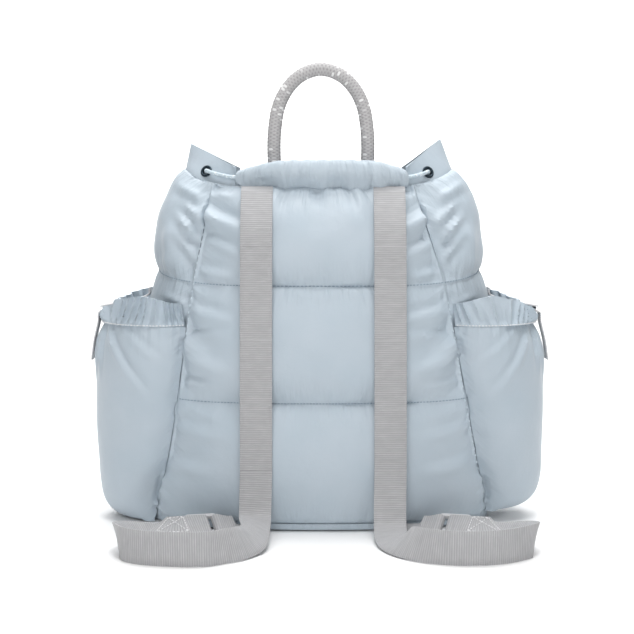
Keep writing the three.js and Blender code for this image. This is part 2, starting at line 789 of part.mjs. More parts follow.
// A ladder lock: a plate with cut corners and two slots that leave three bars.
function lockGeometry(frame) {
  const half = lockLength / 2;
  const side = lockWidth / 2;
  const corner = 3;
  const outline = new THREE.Shape([
    new THREE.Vector2(-half + corner, -side),
    new THREE.Vector2(half - corner, -side),
    new THREE.Vector2(half, -side + corner),
    new THREE.Vector2(half, side - corner),
    new THREE.Vector2(half - corner, side),
    new THREE.Vector2(-half + corner, side),
    new THREE.Vector2(-half, side - corner),
    new THREE.Vector2(-half, -side + corner),
  ]);
  const plate = new THREE.ExtrudeGeometry(outline, { depth: lockWall, steps: 1, bevelEnabled: false });
  plate.translate(0, 0, -lockWall / 2);
  const slotLength = half - barWidth * 1.5;
  let solid = toSolid(plate);
  for (const direction of [-1, 1]) {
    const slot = new THREE.BoxGeometry(slotLength, strapWidth + 2 * slotClearance, lockWall * 2);
    slot.translate(direction * (barWidth + slotLength) / 2, 0, 0);
    solid = solid.subtract(toSolid(slot));
  }
  const basis = new THREE.Matrix4().makeBasis(frame.along, frame.across, frame.face).setPosition(frame.centre);
  return fromSolid(solid).applyMatrix4(basis);
}

// The anchor starts below the base seam and wraps the lock's rear bar.
function anchorGeometry(frame, side) {
  const rear = -lockLength / 2 + barWidth / 2;
  const apart = strapWall / 2 + gap / 2;
  const half = strapWidth / 2 - 1;
  const across = frame.across.clone().multiplyScalar(half);
  const rootTurn = turnAcross(side * (frame.centre.x - anchorReach), baseSeamHeight, () => 0);
  const rootHeight = baseSeamHeight - gap - strapWall / 2;
  const rootAt = (shift) => {
    const turn = rootTurn + side * shift * half * turnPerLength(rootTurn, baseSeamHeight);
    const point = bodyAt(turn, baseSeamHeight, seamWall / 2 + gap);
    return new THREE.Vector3(point.x * side, point.y, rootHeight);
  };
  const rootAcross = rootAt(1).sub(rootAt(-1)).multiplyScalar(0.5);
  const root = rootAt(-1).add(rootAt(1)).multiplyScalar(0.5);
  root.y = Math.min(rootAt(-1).y, rootAt(1).y, root.y) - 1;
  rootAcross.y = 0;
  const stations = [{ centre: root, across: rootAcross }];
  const approach = frame.place(rear - anchorTail - 1, 0, -apart);
  stations.push({
    centre: root.clone().lerp(approach, 0.5),
    across: rootAcross.clone().lerp(across, 0.5).setLength(half),
  });
  stations.push({ centre: approach, across });
  stations.push({ centre: frame.place(rear - 10, 0, -apart - 0.5), across });
  for (let angle = -110; angle <= 110; angle += 22) {
    const ahead = rear + eyeRadius * Math.cos(angle * DEGREE);
    const up = eyeRadius * Math.sin(angle * DEGREE);
    stations.push({ centre: frame.place(ahead, 0, up), across });
  }
  stations.push({ centre: frame.place(rear - 10, 0, apart + 0.5), across });
  stations.push({ centre: frame.place(rear - anchorTail, 0, apart), across });
  return ribbon(stations, strapWall);
}

// The profile of the back as a taut strap meets it: its farthest point under the strap's width.
function backReach(across, height) {
  const panel = PANELS[0];
  const outer = (place) => {
    const offsetOf = (turn) => seamWall / 2 + puffAt(panel, turn, riseAt(turn, height));
    const turn = turnAcross(place, height, offsetOf);
    return -bodyAt(turn, height, offsetOf(turn)).y;
  };
  return Math.max(...[-1, -0.5, 0, 0.5, 1].map((edge) => outer(across + (edge * strapWidth) / 2)));
}

function hangStations(strap) {
  const across = strap.side * strap.hang;
  const clear = gap + strapWall / 2;
  const rim = bodyHeight;
  const seat = 1 + seamWall / 2 + clear + 1.6;
  const rimAway = -bodyAt(turnAcross(across, rim, () => 0), rim).y;
  const profile = [{ height: rim + 0.1, away: rimAway + seat }];
  const lowest = mix(baseSeamHeight, rim, 0.17);
  const steps = 40;
  for (let step = 1; step <= steps; step += 1) {
    const height = mix(rim - 1.5, lowest, (step / steps) ** 1.3);
    profile.push({ height, away: backReach(across, height) + clear + 3 * gap });
  }
  const taut = [];
  for (const point of profile) {
    while (taut.length > 1) {
      const [before, last] = taut.slice(-2);
      const turnRight = (last.away - before.away) * (before.height - point.height);
      const turnLeft = (point.away - before.away) * (before.height - last.height);
      if (turnRight > turnLeft) {
        break;
      }
      taut.pop();
    }
    taut.push(point);
  }
  return taut.map(({ height, away }) => ({
    centre: new THREE.Vector3(strap.hang, -away, height),
    across: new THREE.Vector3(strapWidth / 2, 0, 0),
  }));
}

function floorStations(strap) {
  return strap.floor.map((row) => {
    const stand = row.stand * DEGREE;
    const splay = row.splay * DEGREE;
    const across = new THREE.Vector3(
      Math.cos(stand) * Math.cos(splay),
      Math.cos(stand) * Math.sin(splay),
      Math.sin(stand),
    ).multiplyScalar(strapWidth / 2);
    const low = new THREE.Vector3(
      (row.out * bodyWidth) / 2,
      -bodyDepth / 2 - row.away * loopReach,
      row.low * strapWidth + (strapWall / 2) * Math.cos(stand),
    );
    return { centre: low.add(across), across };
  });
}

// Stations between the given ones on a smooth curve, with the width turned evenly between them.
function smoothed(stations, steps) {
  const route = new THREE.CatmullRomCurve3(stations.map(({ centre }) => centre), false, "centripetal");
  const spread = new THREE.CatmullRomCurve3(stations.map(({ across }) => across), false, "centripetal");
  const count = (stations.length - 1) * steps;
  return evenShares(count).map((share) => ({
    centre: route.getPoint(share),
    across: spread.getPoint(share).setLength(strapWidth / 2),
  }));
}

function strapGeometry(strap, frame) {
  const under = strapTurnRadius;
  const turnCentre = -barWidth / 2 - 0.2;
  const across = frame.across.clone().multiplyScalar(strapWidth / 2);
  const hang = hangStations(strap);
  const floor = smoothed([hang.at(-1), ...floorStations(strap), {
    centre: frame.place(lockLength / 2 + 12, 0, -under),
    across,
  }], 2);
  const wrap = [{ centre: frame.place(lockLength / 2 - 2, 0, -under), across }];
  for (let angle = -90; angle >= -270; angle -= 30) {
    const ahead = turnCentre + under * Math.cos(angle * DEGREE);
    wrap.push({ centre: frame.place(ahead, 0, under * Math.sin(angle * DEGREE)), across });
  }
  const main = [...hang, ...floor.slice(1), ...wrap];
  const tailEnd = (tailShort + tailLong) / 2;
  const slant = frame.across.clone().multiplyScalar(strapWidth / 2)
    .addScaledVector(frame.along, -(tailLong - tailShort) / 2);
  main.push({ centre: frame.place(lockLength / 2 + 4, 0, under), across });
  main.push({ centre: frame.place(tailEnd, 0, under), across: slant, ahead: frame.along });
  return ribbon(main, strapWall);
}

for (const strap of STRAPS) {
  const frame = lockFrame(strap);
  addPiece(`shoulder_strap_${strap.name}`, handed(strapGeometry(strap, frame), strap.side), WEBBING);
  addPiece(`ladder_lock_${strap.name}`, handed(lockGeometry(frame), strap.side), PLASTIC);
  addPiece(`anchor_tab_${strap.name}`, handed(anchorGeometry(frame, strap.side), strap.side), WEBBING);
}

// Side pockets: a pouch sewn along both vertical seams and the base, open at its gathered rim.
function pocketPoint(pocket, share, height, extra = 0) {
  const seam = column(SECTIONS, "rise", pocket.side < 0 ? "seamLeft" : "seamRight", riseAt(90, height));
  const edge = gap * turnPerLength(seam, Math.max(height, baseSeamHeight)) * 1.5;
  const turn = pocket.side * mix(seam + edge, 180 - seam - edge, share);
  const up = (height - pocket.lift) / (pocketHeight - pocket.lift);
  const bow = Math.max(Math.sin(Math.PI * share), 0) ** 0.6;
  const out = pocketDepth * column(POCKET_PROFILE, "up", "out", up) * bow;
  const point = bodyAt(turn, Math.max(height, baseSeamHeight), pocketSeat + out + extra);
  point.z = height;
  return point;
}

function pocketGeometry(pocket) {
  const heights = POCKET_PROFILE.map(({ up }) => mix(pocket.lift, pocketHeight, up));
  const grid = heights.map((height) => endedShares(12).map((share) => pocketPoint(pocket, share, height)));
  for (const point of grid[0]) {
    point.z += pocketWall;
  }
  const lining = shifted(grid, -pocket.side * pocketWall);
  for (const point of lining.at(-1)) {
    point.z = pocketHeight;
  }
  return slab(grid, lining);
}

function ruffleTop(share) {
  return pocketHeight + gap + column(RUFFLE_RISE, "across", "rise", share);
}

function ruffleGeometry(pocket) {
  const columns = ruffleWaves * 3;
  const grid = [0, 0.5, 1].map((up) => evenShares(columns).map((share) => {
    const height = mix(pocketHeight + gap, ruffleTop(share), up);
    const wave = ruffleWave * Math.sin(2 * Math.PI * ruffleWaves * share) * up;
    const lean = -3 * up * Math.sin(Math.PI * share);
    const point = pocketPoint(pocket, share, pocketHeight, wave + lean);
    const level = bodyAt(90, pocketHeight);
    const higher = bodyAt(90, height);
    point.z = height;
    point.x += (higher.x - level.x) * pocket.side * Math.sign(point.x);
    return point;
  }));
  return slab(grid, shifted(grid, -pocket.side * ruffleWall, true));
}

// The closure: a webbing strap from the bag's side over the pocket's mouth, snapped to a tab that
// hangs down the pocket's outer face.
function closureStations(route) {
  return route.map(([across, height]) => ({
    centre: new THREE.Vector3(across, 0, height),
    across: new THREE.Vector3(0, closureWidth / 2, 0),
  }));
}

function closureRoutes(pocket) {
  const side = pocket.side;
  const panel = PANELS.find(({ name }) => name === `side_panel_${pocket.name}`);
  const clear = gap + closureWall / 2;
  const wallAt = (height) => side * pocketPoint(pocket, 0.5, height).x + clear;
  const sideAt = (height) => {
    const turn = side * 90;
    return side * bodyAt(turn, height, seamWall / 2 + puffAt(panel, turn, riseAt(turn, height))).x + clear;
  };
  const stripEnd = closureWidth / 2 / (pocketDepth * 4);
  const rimTop = ruffleTop(0.5 + stripEnd) + clear + gap;
  const rimOut = wallAt(pocketHeight) + ruffleWave;
  const rimLine = (out) => rimTop + closureSlope * (rimOut - out);
  const strapStart = pocketHeight + closureRise;
  const upper = 2 * clear + snapWall + gap;
  const tabEnd = pocketHeight - tabDrop;
  const tab = [
    [wallAt(tabEnd) + gap, tabEnd],
    [wallAt(mix(tabEnd, pocketHeight, 0.5)) + gap, mix(tabEnd, pocketHeight, 0.5)],
    [rimOut + gap, pocketHeight],
    [rimOut, rimLine(rimOut) - 2.5],
    [rimOut - 3, rimLine(rimOut - 3)],
    [rimOut - 20, rimLine(rimOut - 20)],
  ];
  const strap = [
    [sideAt(strapStart) + gap, strapStart],
    [sideAt(strapStart - 8) + 2 * gap, strapStart - 8],
    [mix(sideAt(strapStart), rimOut, 0.45), mix(strapStart - 8, rimTop + upper, 0.72)],
    [rimOut - 18, rimLine(rimOut - 18) + upper],
    [rimOut - 2, rimLine(rimOut - 2) + upper],
  ];
  const snapOut = rimOut - 3 - snapDiameter / 2;
  return { tab, strap, snap: [snapOut, rimLine(snapOut) + upper / 2] };
}

for (const pocket of POCKETS) {
  addPiece(`side_pocket_${pocket.name}`, pocketGeometry(pocket), FABRIC);
  addPiece(`pocket_ruffle_${pocket.name}`, ruffleGeometry(pocket), FABRIC);
  const routes = closureRoutes(pocket);
  const strap = ribbon(closureStations(routes.strap), closureWall);
  const tab = ribbon(closureStations(routes.tab), closureWall);
  addPiece(`pocket_strap_${pocket.name}`, handed(strap, pocket.side), WEBBING);
  addPiece(`pocket_tab_${pocket.name}`, handed(tab, pocket.side), WEBBING);
  const disc = new THREE.CylinderGeometry(snapDiameter / 2, snapDiameter / 2, snapWall, 14);
  const snap = addPiece(`pocket_snap_${pocket.name}`, disc, GUNMETAL);
  snap.rotation.set(Math.PI / 2, pocket.side * Math.atan(closureSlope), 0, "YXZ");
  snap.position.set(pocket.side * routes.snap[0], 0, routes.snap[1]);
}

export default backpack;
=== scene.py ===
import contextlib
import functools
import itertools
import math

import bmesh
import bpy
import numpy as np
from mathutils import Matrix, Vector
from mathutils.kdtree import KDTree


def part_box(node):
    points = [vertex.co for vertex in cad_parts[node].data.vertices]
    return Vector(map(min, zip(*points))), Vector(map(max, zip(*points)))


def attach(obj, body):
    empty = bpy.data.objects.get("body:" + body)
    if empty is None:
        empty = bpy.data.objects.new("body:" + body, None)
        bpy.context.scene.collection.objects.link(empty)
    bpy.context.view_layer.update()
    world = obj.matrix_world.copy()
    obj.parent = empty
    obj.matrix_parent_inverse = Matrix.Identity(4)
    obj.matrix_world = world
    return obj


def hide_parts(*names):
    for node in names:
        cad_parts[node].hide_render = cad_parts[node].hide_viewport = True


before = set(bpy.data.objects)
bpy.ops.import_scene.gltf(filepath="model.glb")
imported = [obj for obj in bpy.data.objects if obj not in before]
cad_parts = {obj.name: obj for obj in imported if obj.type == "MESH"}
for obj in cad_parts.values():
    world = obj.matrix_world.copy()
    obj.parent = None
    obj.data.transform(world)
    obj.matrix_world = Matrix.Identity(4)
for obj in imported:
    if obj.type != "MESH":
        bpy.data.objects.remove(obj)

bl_info = {
    "name": "Quilted Backpack Looks",
    "version": (1, 0, 0),
    "blender": (4, 5, 0),
    "location": "View3D > Sidebar > Backpack",
    "description": "Dresses the packed backpack frame in padded cloth, webbing, rope and metal",
    "category": "Object",
}

MM = 0.001
BODY = "root"
SIDES = (("left", -1), ("right", 1))
# The middle of each panel in degrees round the body, and those of the two wide panels.
PANEL_TURNS = {"back_panel": 0, "side_panel_right": 90, "front_panel": 180, "side_panel_left": -90}
WIDE_TURNS = (0, 180)
# The sewn lines across a panel, as shares of the way from its base to its rim.
QUILT_SHARES = (0.0, 0.36, 0.707, 1.0)
# How much the gathers beside an upright seam lean, and how far from any seam cloth has no gathers.
GATHER_SLANT = 0.55
NO_GATHERS = 50 * MM
# Points closer than this are one point.
MERGE = 0.01 * MM
# How many rays look for the cloth along a sewn line, an upright seam and a pocket's rim.
SEAM_RAYS = 400
SIDE_SEAM_RAYS = 360
RIM_RAYS = 340
# How far the middle of a pocket's round stands from the bag's middle.
POCKET_ROOT = 145 * MM
# How far the rolls and the drawcord stand from the middle, as shares of the body's half width.
MOUTH_SHARE = 0.62
CORD_SHARE = 0.6
ROPE_STRANDS = 6
ROPE_PITCH = 3.6 * MM
# How many corners a ring of the rope and of a strap has in the frame.
ROPE_CORNERS = 10
STRAP_CORNERS = 4
# The weights and the gain of the hash behind the noise.
HASH_WEIGHTS = (12.9898, 78.233, 37.719)
HASH_GAIN = 43758.5453
# Folds of the back in millimetres: where each starts and ends, as distance from the middle and height,
# then its half width and its height.
BACK_FOLDS = (
    ((118, 318), (68, 300), 6, 4.2),
    ((124, 296), (72, 272), 5, 3.4),
    ((116, 340), (78, 335), 5, 2.6),
    ((130, 262), (85, 254), 5, 2.8),
    ((128, 222), (80, 210), 5, 3.0),
    ((136, 196), (82, 198), 4, 2.4),
    ((138, 172), (90, 160), 6, 2.6),
    ((146, 150), (100, 146), 4, 2.2),
    ((150, 104), (96, 92), 6, 2.8),
    ((156, 66), (100, 58), 6, 2.4),
    ((40, 352), (46, 318), 5, 2.2),
    ((12, 352), (6, 322), 5, 1.8),
)
# The same for the sides, where the first figure is the distance from the bag's middle plane.
SIDE_FOLDS = (
    ((116, 306), (142, 336), 4.5, 3.4),
    ((122, 288), (150, 322), 4.5, 3.6),
    ((128, 270), (152, 300), 4, 3.0),
    ((118, 334), (150, 352), 5, 2.6),
    ((134, 226), (166, 238), 4, 2.6),
    ((162, 262), (156, 320), 6, 2.4),
)
# The same for a pocket, where a place is a length round the pocket and a depth below its rim.
POCKET_FOLDS = (
    ((50, 0), (118, 90), 3.5, 3.2),
    ((34, 0), (40, 60), 4, 3.0),
    ((75, 0), (125, 45), 3.5, 1.8),
    ((18, 0), (12, 70), 5, 2.4),
    ((100, 150), (60, 195), 8, 1.8),
)
# Sags of a roll in millimetres: how far to the right of the middle, half width and depth.
ROLL_SAGS = (
    (-70, 13, 3.0),
    (-38, 9, 2.2),
    (2, 14, 3.4),
    (41, 10, 2.4),
    (71, 12, 3.0),
)


def length(name, description, default):
    return bpy.props.FloatProperty(name=name, description=description, default=default, unit="LENGTH")


def colour(name, description, default):
    return bpy.props.FloatVectorProperty(
        name=name, description=description, default=default, min=0, max=1, subtype="COLOR")


class BackpackSettings(bpy.types.PropertyGroup):
    """Sizes and colours that the looks are made from."""

    pucker_depth: length("Pucker depth", "How deep the gathers beside a seam are", 3.4 * MM)
    pucker_reach: length("Pucker reach", "How far the gathers run out from a seam", 34 * MM)
    pucker_pitch: length("Pucker pitch", "Distance between two gathers along a seam", 15 * MM)
    fold_depth: length("Fold depth", "How deep the soft folds across a baffle are", 3.6 * MM)
    shirring_pitch: length("Shirring pitch", "Distance between two gathers on an elastic edge", 9 * MM)
    shirring_depth: length("Shirring depth", "How deep the gathers on an elastic edge are", 2.4 * MM)
    rope_relief: length("Rope relief", "How far the strands of the handle stand out", 0.55 * MM)
    thread_radius: length("Thread radius", "Half the thickness of the sewing thread", 0.5 * MM)
    stitch_length: length("Stitch length", "Length of one stitch", 3 * MM)
    nylon_shade: colour("Nylon shade", "Darker tone of the padded cloth", (0.39, 0.465, 0.525))
    nylon_light: colour("Nylon light", "Lighter tone of the padded cloth", (0.455, 0.515, 0.57))
    # The strap and closure shade tones are painted shade between the ribs of the webbing.
    strap_shade: colour("Strap shade", "Tone between the ribs of the straps", (0.27, 0.27, 0.28))
    strap_light: colour("Strap light", "Tone of the ribs of the straps", (0.51, 0.51, 0.52))
    # The closure tones are the strap tones made lighter: painted light on closures that face away from the
    # lamps.
    closure_shade: colour("Closure shade", "Tone between the ribs of the closures", (0.52, 0.52, 0.53))
    closure_light: colour("Closure light", "Tone of the ribs of the closures", (0.72, 0.72, 0.73))
    rope_colour: colour("Rope colour", "Tone of the handle's strands", (0.47, 0.46, 0.465))
    rope_fleck: colour("Rope fleck", "Tone of the flecks in the handle", (0.80, 0.80, 0.80))
    cord_colour: colour("Cord colour", "Tone of the drawcord's strands", (0.58, 0.68, 0.75))
    cord_fleck: colour("Cord fleck", "Tone of the flecks in the drawcord", (0.8, 0.86, 0.9))
    eyelet_colour: colour("Eyelet colour", "Tone of the plated eyelets", (0.022, 0.034, 0.045))
    snap_colour: colour("Snap colour", "Tone of the plated snaps", (0.04, 0.05, 0.06))
    camera_away: length("Camera distance", "How far the camera stands behind the wearer's side", 1.585)
    camera_height: length("Camera height", "How high the camera stands", 0.35)
    camera_lens: bpy.props.FloatProperty(
        name="Camera lens", description="Focal length in millimetres", default=85.7, subtype="NONE")
    camera_tilt: bpy.props.FloatProperty(
        name="Camera tilt", description="How far the camera looks down",
        default=math.radians(3.15), subtype="ANGLE")
    camera_shift: bpy.props.FloatProperty(
        name="Camera shift", description="How far the frame is moved down, as a share of its width",
        default=-0.08, subtype="FACTOR")


def settings():
    return bpy.context.scene.backpack_settings


# Material arithmetic


def arithmetic(operation):
    """The two methods of one sign: with the socket before it and with the socket after it."""
    def forward(self, other):
        return self.paint.math(operation, self, other)

    def reflected(self, other):
        return self.paint.math(operation, other, self)

    return forward, reflected


class Socket:
    """A value in a material's node tree that takes part in plain arithmetic."""

    __add__, __radd__ = arithmetic("ADD")
    __sub__, __rsub__ = arithmetic("SUBTRACT")
    __mul__, __rmul__ = arithmetic("MULTIPLY")
    __truediv__, __rtruediv__ = arithmetic("DIVIDE")
    __pow__, __rpow__ = arithmetic("POWER")

    def __init__(self, paint, output):
        self.paint = paint
        self.output = output

    def sine(self):
        return self.paint.math("SINE", self)

    def absolute(self):
        return self.paint.math("ABSOLUTE", self)

    def rounded_down(self):
        return self.paint.math("FLOOR", self)

    def waves(self, pitch):
        """Even waves from 0 to 1, this far apart."""
        return (self * (2 * math.pi / pitch)).sine() * 0.5 + 0.5

    def ease(self, low, high):
        """0 below low and 1 above high, eased between them."""
        return self.paint.node(
            "ShaderNodeMapRange", {"interpolation_type": "SMOOTHSTEP"},
            {"Value": self, "From Min": low, "From Max": high})


class Paint:
    """A material under construction."""

    def __init__(self, name):
        self.material = bpy.data.materials.new(name)
        self.material.use_nodes = True
        self.tree = self.material.node_tree
        self.shader = self.tree.nodes["Principled BSDF"]

    def connect(self, value, target):
        if isinstance(value, Socket):
            self.tree.links.new(value.output, target)
        else:
            target.default_value = value

    def node(self, kind, choices, values, output=0):
        """One node: its choices are set first, then the values or links of its sockets."""
        node = self.tree.nodes.new(kind)
        for name, choice in choices.items():
            setattr(node, name, choice)
        for name, value in values.items():
            self.connect(value, node.inputs[name])
        return Socket(self, node.outputs[output])

    def math(self, operation, *values):
        return self.node("ShaderNodeMath", {"operation": operation}, dict(enumerate(values)))

    def coordinates(self, layer=None):
        """x, y and z of the object, or of a UV layer, in metres."""
        if layer:
            source = self.node("ShaderNodeUVMap", {"uv_map": layer}, {})
        else:
            source = self.node("ShaderNodeTexCoord", {}, {}, "Object")
        first = self.node("ShaderNodeSeparateXYZ", {}, {0: source})
        return [Socket(self, part) for part in first.output.node.outputs]

    def noise(self, *place, detail=2.0, roughness=0.5):
        """Smooth noise from 0 to 1 at coordinates that are already scaled."""
        joined = self.node("ShaderNodeCombineXYZ", {}, dict(enumerate(place)))
        values = {"Vector": joined, "Scale": 1.0, "Detail": detail, "Roughness": roughness}
        return self.node("ShaderNodeTexNoise", {}, values, "Fac")

    def grain(self, scale, **shape):
        """Smooth noise through the object's own space, with this many waves to a metre."""
        return self.noise(*(part * scale for part in self.coordinates()), **shape)

    def blend(self, share, first, second):
        """A colour between two colours."""
        one, two = (part if isinstance(part, Socket) else (*part, 1.0) for part in (first, second))
        return self.node("ShaderNodeMix", {"data_type": "RGBA"}, {"Factor": share, 6: one, 7: two}, 2)

    def set(self, name, value):
        self.connect(value, self.shader.inputs[name])

    def bump(self, height, distance):
        """Relief from a height of 0 to 1 that stands for this many metres."""
        self.set("Normal", self.node("ShaderNodeBump", {}, {"Distance": distance, "Height": height}))


def toned(base, share):
    """A colour made darker or lighter."""
    return tuple(share * part for part in base)


def nylon_material(name, shade, light, gathers=1.0):
    """Soft calendered nylon with a fine crinkle, and gathers that fade away from the seams."""
    paint = Paint(name)
    crinkle = paint.grain(70, detail=3, roughness=0.55)
    height = crinkle * 0.35 + paint.grain(900, detail=1) * 0.03
    reach = 40 * MM
    for layer, slant, weight in (("level_seam", 0.0, 1.6), ("side_seam", GATHER_SLANT, 0.9)):
        along, away, _ = paint.coordinates(layer)
        gather = paint.noise((along + away * slant) * 150, away * 22, detail=2) - 0.5
        height = height + gather * (reach - away).ease(0.0, reach) * (weight * gathers)
    paint.set("Base Color", paint.blend(paint.grain(22), shade, light))
    paint.set("Roughness", crinkle * 0.16 + 0.42)
    paint.set("Sheen Weight", 0.15)
    paint.set("Sheen Roughness", 0.4)
    paint.bump(height, 1.6 * MM)
    return paint.material


def webbing_material(name, shade, light):
    """Flat woven webbing: fine crosswise ribs, lengthwise warp rows and plain selvages."""
    paint = Paint(name)
    across, along, _ = paint.coordinates("weave")
    wear = paint.grain(90, detail=3)
    worn = paint.noise(across * 60, along * 300, detail=3)
    height = along.waves(2.2 * MM) * (worn * 1.4 - 0.1) + across.waves(1.1 * MM) * 0.12
    # The colour is darker between the ribs, painted shade in the grooves, and also varies at random with
    # wear.
    paint.set("Base Color", paint.blend(height * 0.75 + wear * 0.25, shade, light))
    paint.set("Roughness", wear * 0.15 + 0.62)
    paint.set("Sheen Weight", 0.2)
    paint.bump(height + wear * 0.3, 0.3 * MM)
    return paint.material


def braid_material(name, pitch, strands, fleck_start, base, fleck):
    """A round braid: strands that cross at a slant, some of them with lighter flecks."""
    paint = Paint(name)
    along, around, _ = paint.coordinates("braid")
    turn = around * (strands * math.pi)
    climb = along * (math.pi / pitch)
    slants = (climb + turn, climb - turn)
    height = paint.math("MAXIMUM", *(slant.sine().absolute() for slant in slants))
    left, right = ((slant / math.pi).rounded_down() for slant in slants)
    flecks = paint.noise(left * 3.7, right * 2.3, detail=0).ease(fleck_start, fleck_start + 0.04)
    fibre = paint.noise(along * 1500, around * 60, detail=2)
    # Darker where the strands dip: painted shade in the grooves between the strands.
    tone = paint.blend(height ** 2.0, toned(base, 0.62), base)
    tone = paint.blend(flecks * height, tone, fleck)
    paint.set("Base Color", paint.blend(fibre * 0.35, tone, toned(base, 0.7)))
    paint.set("Roughness", fibre * 0.15 + 0.68)
    paint.bump(height * 0.5 + fibre * 0.3, 0.4 * MM)
    return paint.material


def metal_material(name, base, roughness):
    """Dark plated metal with faint handling marks."""
    paint = Paint(name)
    marks = paint.grain(380, detail=4)
    paint.set("Base Color", paint.blend(marks, base, toned(base, 1.8)))
    paint.set("Metallic", 0.85)
    paint.set("Roughness", marks * 0.2 + roughness)
    paint.bump(marks, 0.06 * MM)
    return paint.material


def plastic_material(name, shade, light):
    """Moulded plastic with a fine matt grain."""
    paint = Paint(name)
    grain = paint.grain(1600, detail=2)
    paint.set("Base Color", paint.blend(paint.grain(60), shade, light))
    paint.set("Roughness", grain * 0.2 + 0.38)
    paint.bump(grain, 0.05 * MM)
    return paint.material


def thread_material(name, shade, light):
    """Twisted sewing thread."""
    paint = Paint(name)
    x, y, z = paint.coordinates()
    twist = (x + y + z).waves(0.8 * MM)
    paint.set("Base Color", paint.blend(twist, shade, light))
    paint.set("Roughness", twist * 0.1 + 0.6)
    return paint.material


@functools.cache
def material(look):
    """The finish for a look, made the first time that it is asked for."""
    tune = settings()
    nylon = (tune.nylon_shade, tune.nylon_light)
    rope = (tune.rope_colour, tune.rope_fleck)
    cord = (tune.cord_colour, tune.cord_fleck)
    make, *values = {
        "nylon": (nylon_material, "quilted_nylon", *nylon),
        "shirred": (nylon_material, "shirred_nylon", *nylon, 2.0),
        "webbing": (webbing_material, "woven_webbing", tune.strap_shade, tune.strap_light),
        # The closure webbing is a lighter copy of the strap webbing, painted light on the closures' shaded
        # faces.
        "closure": (webbing_material, "closure_webbing", tune.closure_shade, tune.closure_light),
        "rope": (braid_material, "braided_rope", ROPE_PITCH, ROPE_STRANDS, 0.63, *rope),
        "drawcord": (braid_material, "braided_drawcord", 1.6 * MM, 5, 0.62, *cord),
        "eyelet_metal": (metal_material, "gunmetal_eyelet", tune.eyelet_colour, 0.3),
        "snap_metal": (metal_material, "gunmetal_snap", tune.snap_colour, 0.28),
        "lock_plastic": (plastic_material, "moulded_lock", (0.50, 0.50, 0.51), (0.60, 0.60, 0.61)),
        "light_thread": (thread_material, "pale_blue_thread", (0.50, 0.58, 0.64), (0.68, 0.75, 0.80)),
        "thread": (thread_material, "sewing_thread", (0.62, 0.62, 0.63), (0.80, 0.80, 0.81)),
        "seam_thread": (thread_material, "quilting_thread", (0.16, 0.22, 0.28), (0.30, 0.37, 0.44)),
    }[look]
    return make(*values)


# Mesh helpers


def activate(piece):
    bpy.ops.object.select_all(action="DESELECT")
    piece.select_set(True)
    bpy.context.view_layer.objects.active = piece


@contextlib.contextmanager
def edit_mode(whole=True):
    """Edit mode on the active piece, with the whole of it selected or what is selected already."""
    bpy.ops.object.mode_set(mode="EDIT")
    if whole:
        bpy.ops.mesh.select_all(action="SELECT")
    yield
    bpy.ops.object.mode_set(mode="OBJECT")


def select_edges(piece, wanted):
    """Selects the edges whose two corners are both wanted, and nothing else."""
    for part in (*piece.data.vertices, *piece.data.edges, *piece.data.polygons):
        part.select = False
    for edge in piece.data.edges:
        edge.select = all(wanted(piece.data.vertices[corner]) for corner in edge.vertices)


def add_object(name, data):
    item = bpy.data.objects.new(name, data)
    bpy.context.scene.collection.objects.link(item)
    return item


def new_piece(name, points, faces):
    mesh = bpy.data.meshes.new(name)
    mesh.from_pydata([tuple(point) for point in points], [], faces)
    mesh.update()
    piece = add_object(name, mesh)
    activate(piece)
    return piece


def skin(base, rings, count, closed=True):
    """Faces between rings of points that follow one another from base, and over the ends of closed ones."""
    last = base + (rings - 1) * count
    faces = [
        (low + place, low + (place + 1) % count, low + count + (place + 1) % count, low + count + place)
        for low in range(base, last, count) for place in range(count if closed else count - 1)
    ]
    if closed:
        faces += [tuple(reversed(range(base, base + count))), tuple(range(last, last + count))]
    return faces


def node_copy(node, name):
    """The frame's node as a new piece, with its points merged."""
    piece = add_object(name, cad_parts[node].data.copy())
    activate(piece)
    with edit_mode():
        bpy.ops.mesh.remove_doubles(threshold=MERGE)
    bpy.ops.mesh.customdata_custom_splitnormals_clear()
    return piece


def smooth_copy(node, name, levels=2, crease_angle=55):
    """The frame's node in quads, subdivided with its sharp edges kept."""
    piece = node_copy(node, name)
    limit = math.radians(60)
    with edit_mode():
        bpy.ops.mesh.tris_convert_to_quads(face_threshold=limit, shape_threshold=limit)
    sharp = bmesh.new()
    sharp.from_mesh(piece.data)
    layer = sharp.edges.layers.float.get("crease_edge") or sharp.edges.layers.float.new("crease_edge")
    for edge in sharp.edges:
        if edge.calc_face_angle(0.0) > math.radians(crease_angle):
            edge[layer] = 1.0
    sharp.to_mesh(piece.data)
    sharp.free()
    apply_modifier(piece, "SUBSURF", levels=levels, render_levels=levels)
    return piece


def apply_modifier(piece, kind, **values):
    activate(piece)
    modifier = piece.modifiers.new(kind.title(), kind)
    for key, value in values.items():
        setattr(modifier, key, value)
    bpy.ops.object.modifier_apply(modifier=modifier.name)


def vectors_of(piece, attribute):
    values = np.zeros(len(piece.data.vertices) * 3)
    piece.data.vertices.foreach_get(attribute, values)
    return values.reshape(-1, 3)


def points_of(piece):
    return vectors_of(piece, "co")


def normals_of(piece):
    return vectors_of(piece, "normal")


def move_points(piece, places):
    piece.data.vertices.foreach_set("co", places.ravel())
    piece.data.update()


def point_layer(piece, name, values):
    """A UV layer from a pair of values for each point."""
    layer = piece.data.uv_layers.get(name) or piece.data.uv_layers.new(name=name)
    corners = np.zeros(len(piece.data.loops), dtype=int)
    piece.data.loops.foreach_get("vertex_index", corners)
    layer.data.foreach_set("uv", values[corners].ravel())


def seam_layers(piece, level, side):
    """The two UV layers that the nylon's gathers follow, each a length along and a distance from seams."""
    for name, pair in (("level_seam", level), ("side_seam", side)):
        point_layer(piece, name, np.column_stack(np.broadcast_arrays(*pair)))


